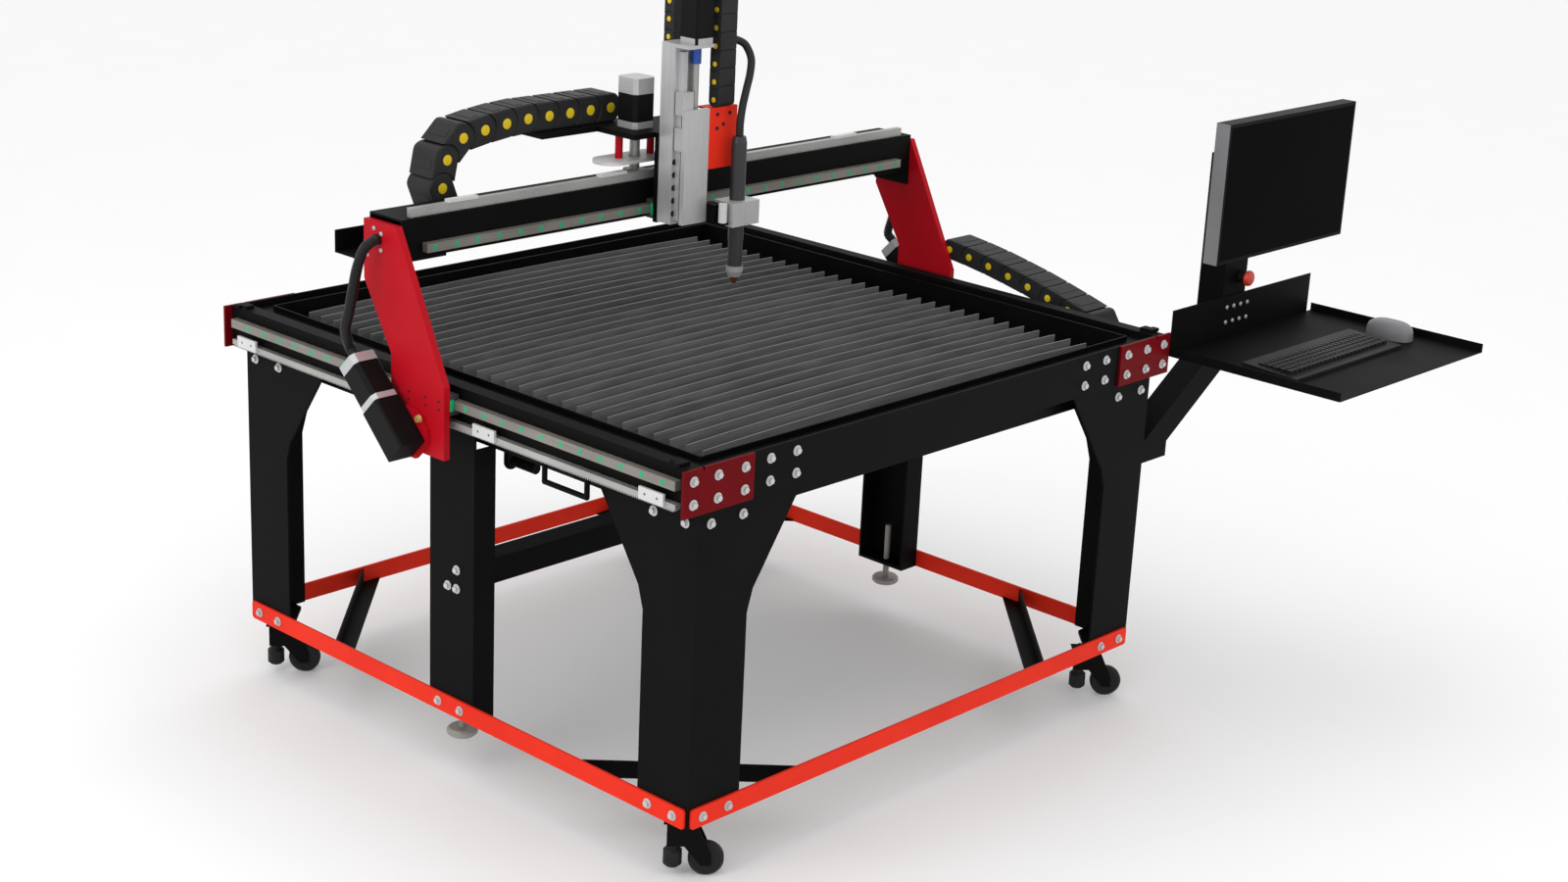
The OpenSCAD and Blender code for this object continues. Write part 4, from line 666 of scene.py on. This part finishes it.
def swept(name, look, path, radius_at):
    """A tube along a path, with its radius given along it in metres."""
    bm = bmesh.new()
    rings = []
    side = Vector((0, 1, 0.2))
    for k, p in enumerate(path):
        ahead = (path[min(k + 1, len(path) - 1)] - path[max(k - 1, 0)]).normalized()
        a = side.cross(ahead).normalized()
        side = ahead.cross(a)
        rings.append([bm.verts.new(p + radius_at(k) * (a * math.cos(t) + side * math.sin(t)))
                      for t in round_steps(TUBE_SIDES)])
    closed_rings(bm, rings)
    return link_mesh(name, bm, look, smooth=True)


def curve_path(points, steps):
    """Evenly spaced points on a smooth curve through the given ones, and its length."""
    dense = []
    n = len(points) - 1
    for i in range(n):
        p0, p1, p2, p3 = (points[max(0, min(n, i + k))] for k in (-1, 0, 1, 2))
        for f in [s / CURVE_SPLITS for s in range(CURVE_SPLITS)]:
            dense.append(0.5 * (2 * p1 + (p2 - p0) * f + (2 * p0 - 5 * p1 + 4 * p2 - p3) * f * f
                                + (3 * p1 - p0 - 3 * p2 + p3) * f ** 3))
    dense.append(points[-1])
    run = [0.0]
    for a, b in zip(dense, dense[1:]):
        run.append(run[-1] + (b - a).length)
    out, j = [], 0
    for k in range(steps + 1):
        t = run[-1] * k / steps
        while j < len(run) - 2 and run[j + 1] < t:
            j += 1
        f = (t - run[j]) / max(1e-9, run[j + 1] - run[j])
        out.append(dense[j].lerp(dense[j + 1], min(1, f)))
    return out, run[-1]


# The torch lead, from the torch into the side of the lift chain
lead_foot = Vector((788, 689, 1377))
lead_points = [lead_foot + Vector(p) for p in (
    (0, 0, 0), (0, 0, 30), (9, 3, 68), (26, 9, 106), (42, 15, 140), (50, 22, 172), (38, 30, 202))]
lead_points += [Vector((787.3 + d, 725, 1591)) for d in (18, 9, 0)]
lead_path, lead_length = curve_path([at(*p) for p in lead_points], LEAD_STEPS)
lead = swept("torch_lead_cover", "cord", lead_path, lambda k: LEAD_D / 2)
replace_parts(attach(lead, "lift"), "torch_lead")

# Ribbed conduits, from the gantry plates to the ends of the leaning drive motors
DRIVE_TILT, DRIVE_MOTOR_END = math.radians(44), 194
motor_way = Vector((0, math.cos(DRIVE_TILT), math.sin(DRIVE_TILT)))
motor_axis = Vector((-124, 787, 816.9))
motor_end = motor_axis + DRIVE_MOTOR_END * motor_way
conduit_foot = Vector((GANTRY_PLATES.left, 905, 1215))
conduit_points = [conduit_foot + Vector(p) for p in (
    (0, 0, 0), (-12, 0, -1), (-36, 2, -16), (-50, 8, -56), (-54, 18, -106), (-54, 32, -156), (-54, 46, -200))]
conduit_points += [motor_end + d * motor_way for d in (36, 16, 0)]


def conduit_radius(k):
    """Ribs two steps wide and grooves two steps wide, between plain ends."""
    ribbed = CONDUIT_PLAIN_STEPS < k < CONDUIT_STEPS - CONDUIT_PLAIN_STEPS
    return CONDUIT_GROOVE_R if ribbed and k % 4 >= 2 else CONDUIT_D / 2


for side in ("left", "right"):
    points = [at(p.x if side == "left" else TABLE_W - p.x, p.y, p.z) for p in conduit_points]
    path, length = curve_path(points, CONDUIT_STEPS)
    conduit = swept("conduit_" + side, "conduit", path, conduit_radius)
    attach(conduit, "gantry")
    if side == "left":
        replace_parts(conduit, "motor_conduits")


# Motors: silver end caps round the dark bodies
CAP_PROUD = 0.3


def motor_caps(name, body, turns, motor, corner, spans):
    """Square bands with cut corners round motors of one size, between heights along their axes."""
    bm = bmesh.new()
    h = (motor.right - motor.left + 2 * CAP_PROUD) / 2
    c = h - corner
    outline = [(h, -c), (h, c), (c, h), (-c, h), (-h, c), (-h, -c), (-c, -h), (c, -h)]
    for turn in turns:
        for heights in spans:
            rings = []
            for z in heights:
                corners = [Vector((x / 1000, y / 1000, z / 1000)) for x, y in outline]
                rings.append([bm.verts.new(turn @ v) for v in corners])
            closed_rings(bm, rings)
    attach(link_mesh(name, bm, "silver"), body)


tilted = Euler((DRIVE_TILT - math.pi / 2, 0, 0)).to_matrix().to_4x4()
drive_turns = [Matrix.Translation(at(x, motor_axis.y, motor_axis.z)) @ tilted
               for x in (motor_axis.x, TABLE_W - motor_axis.x)]
cross_turn, lift_turn = [Matrix.Translation(at(m.x, m.y, m.low)) for m in (CROSS_MOTOR, LIFT_MOTOR)]
motor_caps("drive_motor_caps", "gantry", drive_turns, CROSS_MOTOR, corner=9,
           spans=((78, 92), (172, 194.4)))
motor_caps("cross_motor_caps", "carriage", [cross_turn], CROSS_MOTOR, corner=9,
           spans=((0.1, 16), (80, 116.4)))
motor_caps("lift_motor_cap", "carriage", [lift_turn], LIFT_MOTOR, corner=6, spans=((0.2, 14),))


# Screws on the gantry plates, the chain bracket and the tray's back plate
TRAY_SHEET = 3


def source_screw():
    """A button head of unit radius with a hex socket."""
    head = [(0, 0.01), (1, 0.01), (0.98, 0.24), (0.82, 0.54), (0.55, 0.68), (0.5, 0.68)]
    socket = [(0.5, 0.68), (0.46, 0.3), (0, 0.3)]
    return turned_source("screw_source", "zinc", (head, 20), (socket, 6))


plate_screws = [((GANTRY_PLATES.left, y, z), LEFT)
                for y, z in ((919, 1237), (895, 1229), (896, 1193), (942, 1175))]
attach(repeated("gantry_plate_screws", source_screw(), "zinc", both_sides(plate_screws), 5.0), "gantry")
block_screws = [((GANTRY_PLATES.left, y, LONG_RAILS.z + z), LEFT)
                for y in (702, 746, 802, 846) for z in (-9, 9)]
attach(repeated("block_screws", source_screw(), "hole", both_sides(block_screws), 3.2), "gantry")
bracket_screws = [(at(x, CHAIN_BRACKET.front, z), FRONT)
                  for x, z in ((743, 1427), (783, 1427), (763, 1403), (743, 1395))]
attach(repeated("bracket_screws", source_screw(), "hole", bracket_screws, 4.5), "lift")
tray_screws = [(at(POST.x + x, TRAY.back - TRAY_SHEET, z), FRONT)
               for x in (-30, 0, 30, 60) for z in (908, 946)]
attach(repeated("tray_screws", source_screw(), "zinc", tray_screws, 5.5), "table")

# Pivots on the drive plates, and painted shade of the holes in the lift channel: flat dark discs on its face
pivot_profile = [(0, 0.01), (9, 0.01), (9, 3), (7.5, 4), (7.5, 8), (6.6, 9), (3, 9), (2.6, 6), (0, 6)]
pivot = turned_source("pivot_source", "brass", (pivot_profile, 24))
drive_pivots = both_sides([((DRIVE_PLATES.left, 754, 855), LEFT)])
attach(repeated("drive_pivots", pivot, "brass", drive_pivots), "gantry")
# Flat dark discs that paint the shade inside the channel's holes
hole_shade_disc = turned_source("disc_source", "hole", ([(0, 0.3), (7, 0.3), (7, 0.05)], 24))
channel_holes = [(at(649.5, 759, 1200 + 30 * k), FRONT) for k in range(5)]
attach(repeated("channel_holes", hole_shade_disc, "hole", channel_holes), "carriage")

# Screen, set in from the monitor's sides, its top and bottom, and its front
SCREEN_SIDE_IN, SCREEN_TOP_IN, SCREEN_FRONT_IN, SCREEN_T = 9, 9.5, 0.8, 0.8
screen = bmesh.new()
screen_front = MONITOR.front + SCREEN_FRONT_IN
table_box(screen, (MONITOR.left + SCREEN_SIDE_IN, screen_front, MONITOR.low + SCREEN_TOP_IN),
          (MONITOR.right - SCREEN_SIDE_IN, screen_front + SCREEN_T, MONITOR.high - SCREEN_TOP_IN))
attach(link_mesh("screen_glass", screen, "screen"), "table")

# Mouse: half its width, half its length and its height, in metres
MOUSE_HALF_W, MOUSE_HALF_L, MOUSE_H = 0.035, 0.061, 0.043
MOUSE_SIDES, MOUSE_RINGS = 32, 12
# Its place on the tray, a little clear of the sheet
MOUSE_PLACE = (2175, -260, KEYBOARD.low + 0.05)


def mouse_shell():
    """A rounded shell, fuller at its corners than an oval."""
    bm = bmesh.new()
    rings = []
    plan = [[math.copysign(abs(c) ** 0.77, c) for c in (math.cos(a), math.sin(a))]
            for a in round_steps(MOUSE_SIDES)]
    for t in [math.pi / 2 * i / MOUSE_RINGS for i in range(MOUSE_RINGS)]:
        wide, z = math.cos(t) ** 0.5, MOUSE_H * math.sin(t) ** 0.6
        rings.append([bm.verts.new((MOUSE_HALF_W * wide * x, MOUSE_HALF_L * wide * y, z)) for x, y in plan])
    rings_joined(bm, rings + [[bm.verts.new((0, 0, MOUSE_H))]])
    bm.faces.new(list(reversed(rings[0])))
    bm.transform(Matrix.Translation(at(*MOUSE_PLACE)))
    return link_mesh("mouse_shell", bm, "mouse", smooth=True)


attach(mouse_shell(), "table")

# Stage
FLOOR_HALF, SKY_STRENGTH = 30, 0.97


def area_light(name, place, target, size, power):
    data = bpy.data.lights.new(name, "AREA")
    data.shape = "RECTANGLE"
    data.size, data.size_y = size
    data.energy = power
    lamp = bpy.data.objects.new(name, data)
    lamp.location = place
    lamp.rotation_euler = (Vector(target) - Vector(place)).to_track_quat("-Z", "Y").to_euler()
    bpy.context.scene.collection.objects.link(lamp)


def make_stage():
    """A white floor, an even white sky and three lamps."""
    bm = bmesh.new()
    bmesh.ops.create_grid(bm, x_segments=1, y_segments=1, size=FLOOR_HALF)
    link_mesh("floor", bm, "paper")
    world = bpy.data.worlds.new("studio")
    world.use_nodes = True
    sky = world.node_tree.nodes["Background"]
    sky.inputs["Strength"].default_value = SKY_STRENGTH
    sky.inputs["Color"].default_value = (1, 1, 1, 1)
    bpy.context.scene.world = world
    area_light("top_light", place=(0.0, 0.4, 4.2), target=(0.0, 0.2, 0.6), size=(4.0, 3.0), power=20)
    area_light("left_light", place=(-4.5, 0.5, 2.6), target=(-0.6, 0.2, 0.7), size=(2.4, 2.4), power=34)
    area_light("front_light", place=(0.6, -4.6, 2.4), target=(0.0, 0.0, 0.7), size=(3.0, 2.2), power=10)


make_stage()
bpy.context.scene.view_settings.view_transform = "Standard"
bpy.context.view_layer.update()
